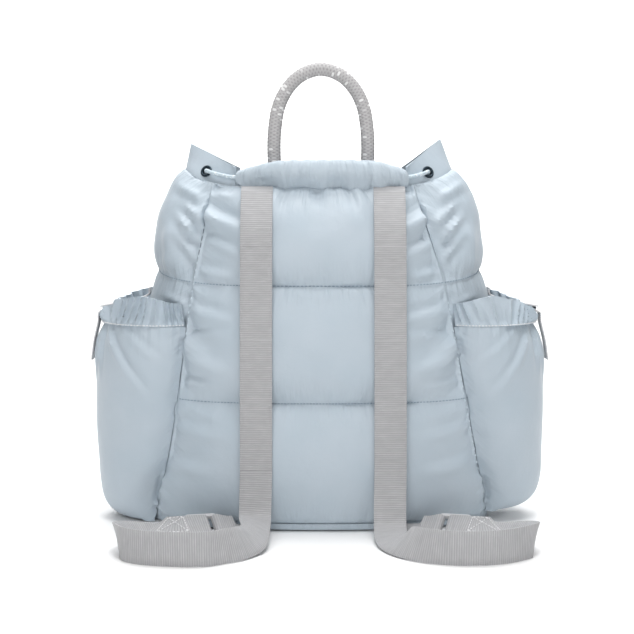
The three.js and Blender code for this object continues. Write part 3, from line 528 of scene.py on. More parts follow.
def finish_piece(piece, look, slot, *nodes):
    """Gives a piece its finish and its body, and hides the frame nodes that it stands for."""
    piece.data.materials.clear()
    piece.data.materials.append(material(look))
    piece.data.polygons.foreach_set("material_index", [0] * len(piece.data.polygons))
    activate(piece)
    bpy.ops.object.shade_smooth_by_angle(angle=math.radians(50))
    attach(piece, BODY)
    if nodes:
        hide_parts(*nodes)


def ease(values, low, high):
    share = np.clip((values - low) / (high - low), 0, 1)
    return share * share * (3 - 2 * share)


def field(values, *scales):
    """Smooth noise from -1 to 1 at each row of three values, one scale for each column."""
    scaled = np.asarray(values) * np.array(scales)
    cell = np.floor(scaled)
    part = ease(scaled - cell, 0, 1)
    total = np.zeros(len(scaled))
    for corner in itertools.product((0, 1), repeat=3):
        level = (np.sin((cell + corner) @ HASH_WEIGHTS) * HASH_GAIN) % 1
        total += (2 * level - 1) * np.prod(np.where(corner, part, 1 - part), axis=1)
    return total


def flat_field(along, away, *scales, seed):
    """The same over two lengths, with another field for each seed."""
    return field(np.column_stack((along, away, np.full(len(along), seed))), *scales, 1)


def creases(across, down, folds):
    """Straight folds: each a ridge with a valley beside it, faded at both ends."""
    total = np.zeros(len(across))
    for first, last, width, height in folds:
        start = np.array(first) * MM
        run = np.array(last) * MM - start
        length = math.hypot(*run)
        offset = np.column_stack((across, down)) - start
        share = offset @ run / length ** 2
        aside = (offset[:, 0] * run[1] - offset[:, 1] * run[0]) / length / (width * MM)
        ridge = np.exp(-aside ** 2) - 0.8 * np.exp(-(aside - 1.7) ** 2)
        total += height * MM * ridge * ease(share, -0.05, 0.2) * (1 - ease(share, 0.45, 1.05))
    return total


def tree_of(others):
    tree = KDTree(len(others))
    for index, point in enumerate(others):
        tree.insert(point, index)
    tree.balance()
    return tree


# Quilted panels


@functools.cache
def body_half():
    """Half the stitched body's width and depth."""
    low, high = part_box("base_panel")
    return (high.x - low.x) / 2, (high.y - low.y) / 2


def turn_round(places):
    """Turn of each place round the body, in radians from the middle of the back."""
    half, deep = body_half()
    return np.arctan2(places[:, 0] / half, -places[:, 1] / deep)


def turn_from(centre, places):
    """The same from another centre, from half a turn one way to half a turn the other way."""
    return (turn_round(places) - centre + math.pi) % (2 * math.pi) - math.pi


def rim_height(turn):
    """Height of the body's upper edge at a turn."""
    back_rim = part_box("back_casing")[0].z
    side_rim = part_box("side_panel_left")[1].z
    return back_rim + (side_rim - back_rim) * np.abs(np.sin(turn)) ** 5


def seam_heights(turn, *shares):
    """Heights of sewn lines at a turn, from 0 at the base to 1 at the rim."""
    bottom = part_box("back_panel")[0].z
    rim = rim_height(turn)
    return np.array([bottom + (rim - bottom) * share for share in shares])


def quilt(piece, centre_turn, side_seams, outward):
    """Puckers beside every seam of a panel, and soft folds across its baffles."""
    tune = settings()
    half, deep = body_half()
    places = points_of(piece)
    normals = normals_of(piece)
    height = places[:, 2]
    turn = turn_round(places)
    radius = np.hypot(half * np.cos(turn), deep * np.sin(turn))
    around = turn_from(math.radians(centre_turn), places) * radius
    level_gaps = np.abs(height - seam_heights(turn, *QUILT_SHARES))
    level_gap = level_gaps.min(axis=0)
    at_rim = level_gaps.argmin(axis=0) == len(QUILT_SHARES) - 1
    seams = tree_of(side_seams)
    side_gap = np.array([seams.find(point)[2] for point in places])
    slant = height + GATHER_SLANT * side_gap
    pitch = 1 / tune.pucker_pitch
    # Gathers that run out from the level seams, in a coarse and a fine set.
    level = flat_field(around, level_gap, pitch, pitch / 7, seed=centre_turn + 1.5)
    level += 0.4 * flat_field(around, level_gap, 2.2 * pitch, pitch / 4, seed=7.5)
    level *= ease(level_gap, 0, 4 * MM) * np.exp(-level_gap / tune.pucker_reach)
    # The same from the upright seams, where the fine set stays close to the seam.
    fine_reach = 9 * MM
    side = 2.6 * flat_field(slant, side_gap, 0.8 * pitch, pitch / 8, seed=3.5)
    fine = 1.5 * flat_field(slant, side_gap, 2.4 * pitch, pitch / 4, seed=9.5)
    side += fine * np.exp(-side_gap / fine_reach)
    side *= ease(side_gap, 0, 3 * MM) * np.exp(-side_gap / (1.1 * tune.pucker_reach))
    level_share, rim_share, fold_share = 0.6, 0.7, 0.55
    amount = tune.pucker_depth * (level_share * (1 + rim_share * at_rim) * level + side)
    folds = field(places, 13, 13, 20) * ease(np.minimum(level_gap, side_gap), 5 * MM, 30 * MM)
    amount += fold_share * tune.fold_depth * folds
    # The creases sway a little, and lean the other way on the opposite panel, so that no two match.
    sway = -4 * MM if centre_turn in (180, 90) else 4 * MM
    away = np.abs(places[:, 0] + sway * np.sin(height * 40))
    amount += creases(away, height, BACK_FOLDS if centre_turn in WIDE_TURNS else SIDE_FOLDS)
    amount *= ease(side_gap, 0, 5 * MM) * ease(level_gap, -1 * MM, 3 * MM)
    places[outward] += (normals * amount[:, None])[outward]
    move_points(piece, places)
    seam_layers(piece, (around, level_gap), (places[:, 2], side_gap))


def outer_side(piece):
    """Which points of a panel lie on its outer cloth."""
    half, deep = body_half()
    places = points_of(piece)
    normals = normals_of(piece)
    return normals[:, 0] * places[:, 0] / half ** 2 + normals[:, 1] * places[:, 1] / deep ** 2 > 0


def stitch_row(piece, rays):
    """Stitches on the points where rays, each a start and a direction, first meet a piece."""
    tune = settings()
    spots = []
    for start, way in rays:
        hit, place, _, _ = piece.ray_cast(start, way)
        if hit and (not spots or (place - spots[-1][0]).length > tune.stitch_length):
            spots.append((place, -way))
    lift = tune.thread_radius * 0.6
    widest_gap = 3 * tune.stitch_length
    return [
        (one + face * lift, two + face * lift, face)
        for (one, face), (two, _) in zip(spots, spots[1:])
        if (two - one).length < widest_gap
    ]


def inward_ray(turn, height):
    """A level ray from outside the body towards its middle."""
    half, deep = body_half()
    outside = 1.6
    out = Vector((math.sin(turn) * half, -math.cos(turn) * deep, 0))
    return out * outside + Vector((0, 0, height)), -out.normalized()


def seam_stitches(piece, share, first_turn, last_turn):
    """A row of quilting stitches in the valley of a sewn line across a panel."""
    turns = np.linspace(first_turn, last_turn, SEAM_RAYS)
    heights = seam_heights(turns, share)[0]
    return stitch_row(piece, [inward_ray(turn, height) for turn, height in zip(turns, heights)])


def side_seam_stitches(piece, places, local, centre):
    """Light stitches just inside a panel's two upright seams, with an inset in radians."""
    foot, head, band, inset = 14 * MM, 8 * MM, 4 * MM, 0.032
    heights = np.linspace(places[:, 2].min() + foot, places[:, 2].max() - head, SIDE_SEAM_RAYS)
    paths = []
    for side in (-1, 1):
        rays = []
        for height in heights:
            level = np.abs(places[:, 2] - height) < band
            rays.append(inward_ray(centre + side * (np.abs(local[level]).max() - inset), height))
        paths += stitch_row(piece, rays)[::2]
    return paths


def make_body():
    panels = {node: smooth_copy(node, f"quilted_{node}", levels=3) for node in PANEL_TURNS}
    points = {node: points_of(piece) for node, piece in panels.items()}
    for node, piece in panels.items():
        places = points[node]
        borders = np.vstack([points[other] for other in panels if other != node])
        centre = math.radians(PANEL_TURNS[node])
        local = turn_from(centre, places)
        quilt(piece, PANEL_TURNS[node], borders, outer_side(piece))
        paths = []
        for share in QUILT_SHARES[1:-1]:
            paths += seam_stitches(piece, share, centre + local.min(), centre + local.max())
        sew(f"quilting_{node}", paths, "seam_thread", "nylon")
        if PANEL_TURNS[node] in WIDE_TURNS:
            paths = side_seam_stitches(piece, places, local, centre)
            sew(f"side_seams_{node}", paths, "light_thread", "nylon")
        finish_piece(piece, "nylon", "nylon", node)
    base = smooth_copy("base_panel", "padded_base", levels=2)
    places = points_of(base)
    level = (places[:, 0], np.abs(places[:, 2] - places[:, 2].max()))
    seam_layers(base, level, (places[:, 2], settings().pucker_reach))
    finish_piece(base, "nylon", "nylon", "base_panel")


# Drawcord mouth


def gathers(along):
    """Even gathers along an elastic edge: 0 on a ridge and 1 in the valley between two."""
    return np.abs(np.sin(along * math.pi / settings().shirring_pitch)) ** 0.7


def shirr(piece, along, away, depth, seed, directions, sharpness):
    """Irregular gathers that run square to an elastic edge."""
    places = points_of(piece)
    warp = 1.1 * settings().shirring_pitch * flat_field(along, away, 50, 8, seed=seed)
    ridge = 1 - 2 * gathers(along + warp)
    loose = flat_field(along, away, 38, 9, seed=seed + 5)
    amount = depth * (sharpness * (0.75 + 0.5 * loose) * ridge + 0.9 * loose)
    places += directions * amount[:, None]
    move_points(piece, places)
    seam_layers(piece, (along, np.clip(away, 0, None)), (places[:, 2], NO_GATHERS))


def make_roll(place, facing):
    """A gathered roll: its crown rises, its lower half sags and is set back, and gathers cross it."""
    tune = settings()
    half, _ = body_half()
    node = f"{place}_casing"
    piece = smooth_copy(node, f"gathered_{place}_roll", levels=2, crease_angle=70)
    places = points_of(piece)
    normals = normals_of(piece)
    around = turn_from(0 if facing < 0 else math.pi, places) * half * MOUTH_SHARE
    low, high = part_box(node)
    middle = (low.z + high.z) / 2
    outer = ease(facing * places[:, 1], 45 * MM, 60 * MM)
    crown = ease(normals[:, 2], 0.1, 0.9) * (1 - ease(np.abs(places[:, 0]), 50 * MM, 85 * MM))
    sag = outer * ease(-normals[:, 2], -0.3, 0.9)
    crown_rise, sag_drop, set_back, dent_drop = 3.5 * MM, 4 * MM, 7 * MM, 2 * MM
    places[:, 2] += crown_rise * crown - sag_drop * sag
    height = places[:, 2]
    dents = flat_field(around, height, 34, 30, seed=5.5)
    dents += 0.6 * flat_field(around + height, height, 85, 20, seed=8.5)
    hanging = ease(middle - height, -4 * MM, 8 * MM)
    places += normals * (tune.shirring_depth * (0.7 + 2.2 * hanging) * dents)[:, None]
    places[:, 1] += np.sign(-places[:, 1]) * set_back * hanging ** 2 * outer
    places[:, 2] -= dent_drop * hanging * np.clip(dents, -0.2, 1)
    for across, width, depth in ROLL_SAGS:
        lobe = depth * MM * hanging * np.exp(-((places[:, 0] - across * MM) / (width * MM)) ** 2)
        places[:, 2] -= lobe
        places += normals * (0.5 * lobe)[:, None]
    move_points(piece, places)
    away = np.abs(places[:, 2] - middle)
    shirr(piece, around, away, 0.5 * tune.shirring_depth, 2.5, normals_of(piece), sharpness=0.2)
    finish_piece(piece, "shirred", "nylon", node)


def make_ear(side):
    """A folded ear band with its two eyelets."""
    node = f"ear_band_{side}"
    ear = node_copy(node, f"folded_ear_{side}")
    with edit_mode():
        bpy.ops.mesh.subdivide(number_cuts=2)
    places = points_of(ear)
    seam_layers(ear, (places[:, 1], 30 * MM), (places[:, 2], NO_GATHERS))
    finish_piece(ear, "nylon", "nylon", node)
    for end in ("back", "front"):
        make_eyelet(f"eyelet_{end}_{side}")


def make_cord():
    """The drawcord, with a braid layer of its length and turn."""
    level, reach = 360 * MM, 4 * MM
    half, _ = body_half()
    cord = smooth_copy("drawcord", "mouth_drawcord", levels=2, crease_angle=80)
    places = points_of(cord)
    along = turn_round(places) * half * CORD_SHARE
    around = np.arctan2(places[:, 2] - level, reach) / math.pi
    point_layer(cord, "braid", np.column_stack((along, around)))
    finish_piece(cord, "drawcord", "drawcord", "drawcord")


def make_mouth():
    make_roll("back", -1)
    make_roll("front", 1)
    for side, _ in SIDES:
        make_ear(side)
    make_cord()


def disc_frame(node):
    """Centre, axis, radius and half thickness of a round flat node."""
    places = np.unique(np.round([tuple(v.co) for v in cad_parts[node].data.vertices], 6), axis=0)
    centre = (places.max(axis=0) + places.min(axis=0)) / 2
    _, _, axes = np.linalg.svd(places - places.mean(axis=0))
    axis = axes[2]
    along = (places - centre) @ axis
    radius = np.linalg.norm((places - centre) - along[:, None] * axis, axis=1).max()
    return Vector(centre), Vector(axis), radius, (along.max() - along.min()) / 2


def turned(name, node, profile, steps=48):
    """A round piece spun from a profile of (share of radius, share of half thickness)."""
    centre, axis, radius, half = disc_frame(node)
    out = axis.orthogonal().normalized()
    bpy.ops.mesh.primitive_circle_add(vertices=len(profile), radius=radius)
    piece = bpy.context.object
    piece.name = name
    for vertex, (reach, up) in zip(piece.data.vertices, profile):
        vertex.co = centre + out * (reach * radius) + axis * (up * half)
    select_edges(piece, lambda vertex: profile[vertex.index][0] == 0)
    with edit_mode(whole=False):
        bpy.ops.mesh.select_mode(type="EDGE")
        bpy.ops.mesh.delete(type="EDGE")
        bpy.ops.mesh.select_mode(type="VERT")
        bpy.ops.mesh.select_all(action="SELECT")
        bpy.ops.mesh.spin(steps=steps, angle=2 * math.pi, center=centre, axis=axis)
        bpy.ops.mesh.select_all(action="SELECT")
        bpy.ops.mesh.remove_doubles(threshold=MERGE)
        bpy.ops.mesh.normals_make_consistent(inside=False)
    return piece


def mirrored(profile):
    """A profile's other half, from its outer end back to its start."""
    return [(reach, -up) for reach, up in reversed(profile)]


def make_eyelet(node):
    """A rolled eyelet with a rounded flange on each face of the band."""
    face = [
        (0.61, 0.0), (0.61, 0.55), (0.66, 0.86), (0.74, 1.0),
        (0.86, 0.98), (0.96, 0.82), (1.0, 0.6), (0.97, 0.42),
    ]
    barrel = [(0.78, 0.4), (0.78, -0.4)]
    piece = turned(f"rolled_{node}", node, face + barrel + mirrored(face[1:]))
    finish_piece(piece, "eyelet_metal", "eyelet_metal", node)


# Rope handle


def curve_through(points, steps):
    """Places evenly shared out on a smooth line through the points."""
    ends = [points[0] * 2 - points[1], *points, points[-1] * 2 - points[-2]]
    places = []
    for a, b, c, d in zip(ends, ends[1:], ends[2:], ends[3:]):
        for step in range(steps):
            t = step / steps
            places.append(0.5 * (2 * b + (c - a) * t + (2 * a - 5 * b + 4 * c - d) * t * t
                                 + (3 * b - a - 3 * c + d) * t ** 3))
    places.append(points[-1])
    return places


def tube(name, route, radius_at, around):
    """A round tube along a route, with a braid layer of its length and turn."""
    points = []
    layer = []
    up = Vector((0, 1, 0))
    reach = 0.0
    for step, centre in enumerate(route):
        before, after = route[max(step - 1, 0)], route[min(step + 1, len(route) - 1)]
        tangent = (after - before).normalized()
        up = (up - tangent * up.dot(tangent)).normalized()
        side = tangent.cross(up)
        reach += (centre - before).length
        for place in range(around + 1):
            share = place / around
            out = up * math.cos(2 * math.pi * share) + side * math.sin(2 * math.pi * share)
            points.append(centre + out * radius_at(reach, share))
            layer.append((reach, share))
    piece = new_piece(name, points, skin(0, len(route), around + 1, closed=False))
    point_layer(piece, "braid", np.array(layer))
    with edit_mode():
        bpy.ops.mesh.remove_doubles(threshold=0.5 * MERGE)
        bpy.ops.mesh.select_all(action="DESELECT")
        bpy.ops.mesh.select_non_manifold()
        bpy.ops.mesh.fill()
        bpy.ops.mesh.select_all(action="SELECT")
        bpy.ops.mesh.normals_make_consistent(inside=False)
    return piece


def rings_of(node, around):
    """The corners of each of a node's rings, from one flat end to the other."""
    mesh = bmesh.new()
    mesh.from_mesh(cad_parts[node].data)
    bmesh.ops.remove_doubles(mesh, verts=mesh.verts, dist=MERGE)
    layer = end_ring(mesh, around)
    seen = set(layer)
    rings = []
    while layer:
        if len(layer) == around:
            rings.append([vertex.co.copy() for vertex in layer])
        following = []
        for vertex in layer:
            for edge in vertex.link_edges:
                other = edge.other_vert(vertex)
                if other not in seen:
                    seen.add(other)
                    following.append(other)
        layer = following
    mesh.free()
    return rings


def end_ring(mesh, around):
    """The ring round one flat end, which may have a point in its middle."""
    flatness, unevenness, bend = 0.9999, 0.1, 0.001
    for vertex in mesh.verts:
        level = all(face.normal.dot(vertex.link_faces[0].normal) > flatness for face in vertex.link_faces)
        if len(vertex.link_faces) == around and level:
            ring = [edge.other_vert(vertex) for edge in vertex.link_edges]
            reach = [(other.co - vertex.co).length for other in ring]
            if max(reach) - min(reach) < unevenness * max(reach):
                mesh.verts.remove(vertex)
                return ring
    flat = mesh.copy()
    bmesh.ops.dissolve_limit(flat, angle_limit=bend, verts=flat.verts, edges=flat.edges)
    for face in flat.faces:
        if len(face.verts) == around:
            corners = [vertex.co.copy() for vertex in face.verts]
            flat.free()
            return [min(mesh.verts, key=lambda vertex: (vertex.co - corner).length) for corner in corners]
    raise ValueError("no flat end")


def make_handle():
    relief = settings().rope_relief
    steps, sides = 18, 48
    rings = rings_of("handle_rope", ROPE_CORNERS)
    centres = [sum(ring, Vector()) / len(ring) for ring in rings]
    top = len(rings) // 2
    radius = (rings[top][0] - centres[top]).length

    def radius_at(reach, share):
        climb = math.pi * reach / ROPE_PITCH
        turn = math.pi * ROPE_STRANDS * share
        strand = max(abs(math.sin(climb + turn)), abs(math.sin(climb - turn)))
        return radius + relief * (strand - 0.5)

    rope = tube("braided_handle", curve_through(centres, steps), radius_at, sides)
    finish_piece(rope, "rope", "rope", "handle_rope")


# Webbing


def stations_of(node):
    """Centre and half width of each ring of a flat strap, and the strap's thickness."""
    stations = []
    before = None
    for ring in rings_of(node, STRAP_CORNERS):
        first = ring[0]
        partner = min(ring[1:], key=lambda corner: (corner - first).length)
        others = [corner for corner in ring[1:] if corner is not partner]
        one = (first + partner) / 2
        two = (others[0] + others[1]) / 2
        across = (two - one) / 2
        if before is not None and across.dot(before) < 0:
            across.negate()
        before = across
        stations.append(((one + two) / 2, across))
    return stations, (first - partner).length


def strap_rows(node, spacing=2.5 * MM, closest=0.8 * MM):
    """Centre, half width, face direction and length reached at close steps along a strap."""
    stations, wall = stations_of(node)
    centres, acrosses = map(list, zip(*stations))
    longest = max((b - a).length for a, b in zip(centres, centres[1:]))
    steps = max(3, math.ceil(longest / spacing))
    middle = curve_through(centres, steps)
    spread = curve_through(acrosses, steps)
    kept = [0]
    for index in range(1, len(middle) - 1):
        if (middle[index] - middle[kept[-1]]).length >= closest:
            kept.append(index)
    kept.append(len(middle) - 1)
    rows = []
    reach = 0.0
    for place, index in enumerate(kept):
        before = middle[kept[max(place - 1, 0)]]
        after = middle[kept[min(place + 1, len(kept) - 1)]]
        across = spread[index]
        face = (after - before).cross(across).normalized()
        reach += (middle[index] - before).length
        rows.append((middle[index], across, face, reach))
    return rows, wall, acrosses[0].length


def make_webbing(node, name, look="webbing"):
    """A strap with rounded edges and a weave layer. Returns its rows and its thickness."""
    rows, wall, half = strap_rows(node)
    shoulder = 1 - min(0.9 * MM, 0.45 * wall) / half
    upper = [(-1, 0.25), (-shoulder, 0.5), *((share, 0.5) for share in (-0.6, -0.2, 0.2, 0.6)),
             (shoulder, 0.5), (1, 0.25)]
    section = [*upper, *mirrored(upper)]
    points = []
    layer = []
    for centre, across, face, reach in rows:
        for share, up in section:
            points.append(centre + across * share + face * (up * wall))
            layer.append((share * half, reach))
    piece = new_piece(name, points, skin(0, len(rows), len(section)))
    point_layer(piece, "weave", np.array(layer))
    with edit_mode():
        bpy.ops.mesh.normals_make_consistent(inside=False)
    finish_piece(piece, look, "webbing", node)
    return rows, wall


def sew(name, paths, look="thread", slot="webbing"):
    """Stitches laid one after another along each path of (start, end, face direction)."""
    tune = settings()
    pitch = tune.stitch_length * 1.35
    sides = 6
    gap = 0.13
    points = []
    faces = []
    for start, end, face in paths:
        count = max(1, round((end - start).length / pitch))
        ahead = (end - start) / count
        side = ahead.cross(face).normalized()
        for step in range(count):
            low, high = start + ahead * (step + gap), start + ahead * (step + 1 - gap)
            # Each ring's centre, its size and its lift, both in thread radii.
            rings = (
                (low, 0.25, -0.6), (low.lerp(high, 0.2), 1.0, 0.1),
                (low.lerp(high, 0.8), 1.0, 0.1), (high, 0.25, -0.6),
            )
            faces += skin(len(points), len(rings), sides)
            for centre, size, lift in rings:
                for place in range(sides):
                    angle = 2 * math.pi * place / sides
                    out = (side * math.cos(angle) + face * math.sin(angle)) * size
                    points.append(centre + (out + face * lift) * tune.thread_radius)
    finish_piece(new_piece(name, points, faces), look, slot)


def box_of_stitches(rows, wall, lift, first, last, edge):
    """A stitched box with a cross in it, between two lengths and out to a share of the half width."""
    def place(reach, share):
        centre, across, face, _ = min(rows, key=lambda row: abs(row[3] - reach))
        return centre + across * share + face * (lift * wall / 2), face * (1 if lift > 0 else -1)

    corners = [(first, -edge), (first, edge), (last, edge), (last, -edge)]
    lines = [(corners[step], corners[(step + 1) % 4]) for step in range(4)]
    lines += [(corners[0], corners[2]), (corners[1], corners[3])]
    paths = []
    for one, two in lines:
        start, face = place(*one)
        paths.append((start, place(*two)[0], face))
    return paths


def make_straps():
    for side, _ in SIDES:
        rows, wall = make_webbing(f"shoulder_strap_{side}", f"webbing_strap_{side}")
        first, last, edge = 6 * MM, 30 * MM, 0.8
        if rows[-1][0].z < rows[0][0].z:
            first, last = rows[-1][3] - last, rows[-1][3] - first
        tail = min(rows, key=lambda row: abs(row[3] - (first + last) / 2))
        lift = 1.4 if tail[2].z > 0 else -1.4
        sew(f"strap_end_stitches_{side}", box_of_stitches(rows, wall, lift, first, last, edge))
        make_webbing(f"anchor_tab_{side}", f"webbing_anchor_{side}")
        lock = node_copy(f"ladder_lock_{side}", f"moulded_lock_{side}")
        limit = math.radians(40)
        apply_modifier(lock, "BEVEL", width=0.9 * MM, segments=3, limit_method="ANGLE", angle_limit=limit)
        finish_piece(lock, "lock_plastic", "lock_plastic", f"ladder_lock_{side}")


# Side pockets


def round_pocket(piece, sign):
    """Length round a pocket from its middle for each point, and the level direction out of the pocket."""
    low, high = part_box("side_pocket_left")
    deep = high.y
    wide = -low.x - POCKET_ROOT
    places = points_of(piece)
    angle = np.arctan2(places[:, 1] / deep, (sign * places[:, 0] - POCKET_ROOT) / wide)
    out = np.column_stack((sign * np.cos(angle) / wide, np.sin(angle) / deep, np.zeros(len(places))))
    return angle * (deep + wide) / 2, out / np.linalg.norm(out, axis=1)[:, None]


def make_pocket(side, sign, rim):
    """An open side pocket: gathered below its rim, creased, and drawn to the body at its seam."""
    tune = settings()
    pocket = smooth_copy(f"side_pocket_{side}", f"gathered_pocket_{side}", levels=3, crease_angle=70)
    places = points_of(pocket)
    below = np.clip(rim - places[:, 2], 0, None)
    around, outward = round_pocket(pocket, sign)
    panels = (f"side_panel_{side}", "back_panel", "front_panel")
    body = tree_of(np.vstack([points_of(bpy.data.objects[f"quilted_{panel}"]) for panel in panels]))
    found = [body.find(place) for place in places]
    seam = np.array([place for place, _, _ in found])
    seam_gap = np.array([distance for _, _, distance in found])
    # Folds that hang from the rim, soft dents lower down, puckers at the seam and gathers at the elastic.
    hanging_depth, crumple_depth, seam_share = 4.5 * MM, 2.5 * MM, 0.7
    hanging = flat_field(around, below, 30, 5, seed=4.5 + sign) * np.exp(-below / (60 * MM))
    crumple = field(places, 14, 18, 20) * ease(below, 10 * MM, 50 * MM)
    pucker = flat_field(places[:, 2] + 0.4 * seam_gap, seam_gap, 75, 12, seed=1.5)
    pucker *= np.exp(-seam_gap / (20 * MM))
    shirred = gathers(around) * np.exp(-below / (12 * MM))
    amount = hanging_depth * hanging + crumple_depth * crumple
    amount += seam_share * (tune.pucker_depth * pucker - tune.shirring_depth * shirred)
    amount += creases(np.abs(around), below, POCKET_FOLDS)
    amount *= ease(seam_gap, 0, 14 * MM) * ease(places[:, 2], 2 * MM, 25 * MM)
    places += outward * amount[:, None]
    pull = 0.8 * (1 - ease(seam_gap, 2 * MM, 6 * MM))
    places += (seam - places) * pull[:, None]
    move_points(pocket, places)
    seam_layers(pocket, (around, below), (places[:, 2], 2 * seam_gap))
    finish_piece(pocket, "nylon", "nylon", f"side_pocket_{side}")


def make_ruffle(side, sign, rim):
    """The gathered elastic rim of a pocket, and the row of stitches along its foot."""
    node = f"pocket_ruffle_{side}"
    ruffle = smooth_copy(node, f"pocket_ruffle_edge_{side}", levels=3, crease_angle=70)
    places = points_of(ruffle)
    above = np.clip(places[:, 2] - rim, 0, None)
    around, outward = round_pocket(ruffle, sign)
    rise = ease(above, 0, 7 * MM)
    top_wave = 2 * MM
    places[:, 2] += top_wave * flat_field(around, above, 60, 10, seed=2.5) * rise
    move_points(ruffle, places)
    slanted = around + 0.45 * above * np.sin(around * 45 + sign)
    depth = 1.9 * settings().shirring_depth
    shirr(ruffle, slanted, above, depth, 6.5 + sign, outward * rise[:, None], sharpness=0.9)
    finish_piece(ruffle, "shirred", "nylon", node)
    row_height, last_angle, outside = 1.5 * MM, 1.9, 0.2
    middle = Vector((sign * POCKET_ROOT, 0, rim + row_height))
    rays = []
    for angle in np.linspace(-last_angle, last_angle, RIM_RAYS):
        out = Vector((sign * math.cos(angle), math.sin(angle), 0))
        rays.append((middle + out * outside, -out))
    sew(f"ruffle_stitches_{side}", stitch_row(ruffle, rays), "thread", "nylon")


def make_closure(side):
    """The webbing that closes a pocket, and its snap."""
    for part in ("strap", "tab"):
        make_webbing(f"pocket_{part}_{side}", f"closure_{part}_{side}", "closure")
    cap = [
        (0.0, 1.0), (0.3, 0.98), (0.5, 0.9), (0.62, 0.75),
        (0.7, 0.8), (0.86, 0.85), (0.97, 0.6), (1.0, 0.2),
    ]
    snap = turned(f"snap_{side}", f"pocket_snap_{side}", cap + mirrored(cap))
    finish_piece(snap, "snap_metal", "snap_metal", f"pocket_snap_{side}")


def make_pockets():
    for side, sign in SIDES:
        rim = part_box(f"side_pocket_{side}")[1].z
        make_pocket(side, sign, rim)
        make_ruffle(side, sign, rim)
        make_closure(side)


# Camera, light and floor


def make_floor():
    """A floor that bends up into a backdrop behind the bag."""
    size, back, height, bend = 12, 2.4, 5, 1.2
    bpy.ops.mesh.primitive_plane_add(size=size, location=(0, 0, 0))
    floor = bpy.context.object
    floor.name = "floor"
    for vertex in floor.data.vertices:
        if vertex.co.y > 0:
            vertex.co.y = back
    select_edges(floor, lambda vertex: vertex.co.y > 0)
    with edit_mode(whole=False):
        bpy.ops.mesh.select_mode(type="EDGE")
        bpy.ops.mesh.extrude_region_move(TRANSFORM_OT_translate={"value": (0, 0, height)})
    select_edges(floor, lambda vertex: vertex.co.y > 0 and vertex.co.z < height / 2)
    with edit_mode(whole=False):
        bpy.ops.mesh.bevel(offset=bend, segments=12)
        bpy.ops.mesh.select_all(action="SELECT")
        bpy.ops.mesh.faces_shade_smooth()
    paint = Paint("pale_floor")
    paint.set("Base Color", (0.9, 0.9, 0.9, 1.0))
    paint.set("Roughness", 0.6)
    floor.data.materials.append(paint.material)


def make_camera():
    tune = settings()
    camera = add_object("camera", bpy.data.cameras.new("camera"))
    camera.location = (-3 * MM, -tune.camera_away, tune.camera_height)
    camera.rotation_euler = (math.pi / 2 - tune.camera_tilt, 0, 0)
    camera.data.shift_y = tune.camera_shift
    camera.data.lens = tune.camera_lens
    camera.data.sensor_width = 36
    camera.data.sensor_fit = "HORIZONTAL"
    bpy.context.scene.camera = camera


def make_lights():
    """Square lights, each with its place, the spot that it points at, its size and its power."""
    lights = (
        ("key", (-0.35, -2.3, 1.0), (0, 0, 0.2), 1.4, 20),
        ("fill", (1.6, -1.5, 0.9), (0, 0, 0.2), 1.4, 3),
        ("top", (0.1, -0.6, 1.9), (0, 0, 0.3), 0.6, 17),
        ("backdrop", (0.0, 0.9, 2.6), (0, 2.4, 0.6), 2.5, 110),
        ("floor", (0.0, -4.8, 2.4), (0, -5.0, 0), 3.0, 45),
    )
    for name, place, aim_at, size, power in lights:
        light = add_object(name, bpy.data.lights.new(name, "AREA"))
        light.location = place
        light.rotation_euler = (Vector(aim_at) - light.location).to_track_quat("-Z", "Y").to_euler()
        light.data.size = size
        light.data.energy = power
    world = bpy.data.worlds.new("studio")
    bpy.context.scene.world = world
    world.use_nodes = True
    background = world.node_tree.nodes["Background"]
    background.inputs["Color"].default_value = (1.0, 1.0, 1.0, 1.0)
    background.inputs["Strength"].default_value = 0.12
    bpy.context.scene.view_settings.view_transform = "Standard"


def make_stage():
    make_floor()
    make_camera()
    make_lights()


# Operators and panel


class BackpackOperator:
    bl_options = {"REGISTER", "UNDO"}

    def execute(self, context):
        self.build()
        return {"FINISHED"}


class BACKPACK_OT_body(BackpackOperator, bpy.types.Operator):
    """Make the quilted panels and the base"""

    bl_idname = "backpack.make_body"
    bl_label = "Quilted Body"
    build = staticmethod(make_body)


class BACKPACK_OT_mouth(BackpackOperator, bpy.types.Operator):
    """Make the gathered rolls, the ears, the eyelets and the drawcord"""

    bl_idname = "backpack.make_mouth"
    bl_label = "Drawcord Mouth"
    build = staticmethod(make_mouth)


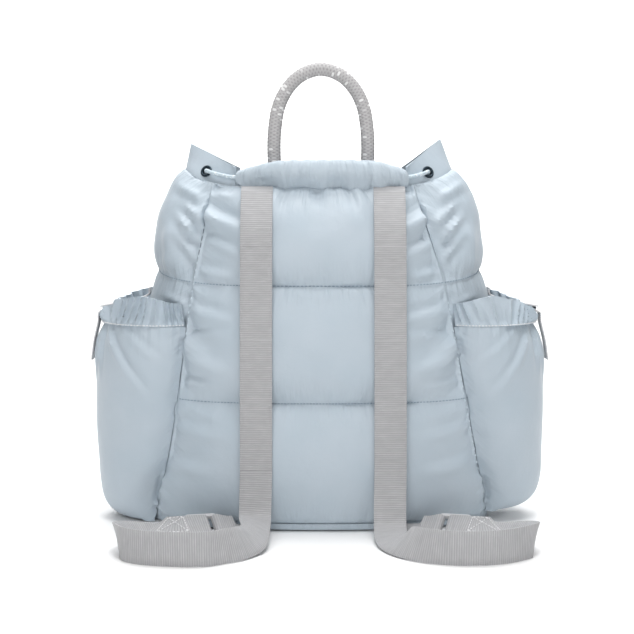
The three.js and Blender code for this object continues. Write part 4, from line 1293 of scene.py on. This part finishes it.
class BACKPACK_OT_handle(BackpackOperator, bpy.types.Operator):
    """Make the rope handle"""

    bl_idname = "backpack.make_handle"
    bl_label = "Rope Handle"
    build = staticmethod(make_handle)


class BACKPACK_OT_straps(BackpackOperator, bpy.types.Operator):
    """Make the shoulder straps, their anchors and the ladder locks"""

    bl_idname = "backpack.make_straps"
    bl_label = "Shoulder Straps"
    build = staticmethod(make_straps)


class BACKPACK_OT_pockets(BackpackOperator, bpy.types.Operator):
    """Make the side pockets with their ruffles and closures"""

    bl_idname = "backpack.make_pockets"
    bl_label = "Side Pockets"
    build = staticmethod(make_pockets)


class BACKPACK_OT_stage(BackpackOperator, bpy.types.Operator):
    """Make the camera, the lights and the floor"""

    bl_idname = "backpack.make_stage"
    bl_label = "Stage"
    build = staticmethod(make_stage)


OPERATORS = (
    BACKPACK_OT_stage,
    BACKPACK_OT_body,
    BACKPACK_OT_mouth,
    BACKPACK_OT_handle,
    BACKPACK_OT_straps,
    BACKPACK_OT_pockets,
)


class BACKPACK_PT_looks(bpy.types.Panel):
    bl_label = "Backpack Looks"
    bl_space_type = "VIEW_3D"
    bl_region_type = "UI"
    bl_category = "Backpack"

    def draw(self, context):
        for name in BackpackSettings.__annotations__:
            self.layout.prop(context.scene.backpack_settings, name)
        for operator in OPERATORS:
            self.layout.operator(operator.bl_idname)


CLASSES = (BackpackSettings, *OPERATORS, BACKPACK_PT_looks)


def register():
    for cls in CLASSES:
        bpy.utils.register_class(cls)
    bpy.types.Scene.backpack_settings = bpy.props.PointerProperty(type=BackpackSettings)


def unregister():
    del bpy.types.Scene.backpack_settings
    for cls in reversed(CLASSES):
        bpy.utils.unregister_class(cls)


def main():
    register()
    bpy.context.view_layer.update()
    bpy.ops.object.select_all(action="DESELECT")
    bpy.ops.backpack.make_stage()
    bpy.ops.backpack.make_body()
    bpy.ops.backpack.make_mouth()
    bpy.ops.backpack.make_handle()
    bpy.ops.backpack.make_straps()
    bpy.ops.backpack.make_pockets()


if __name__ == "__main__":
    main()
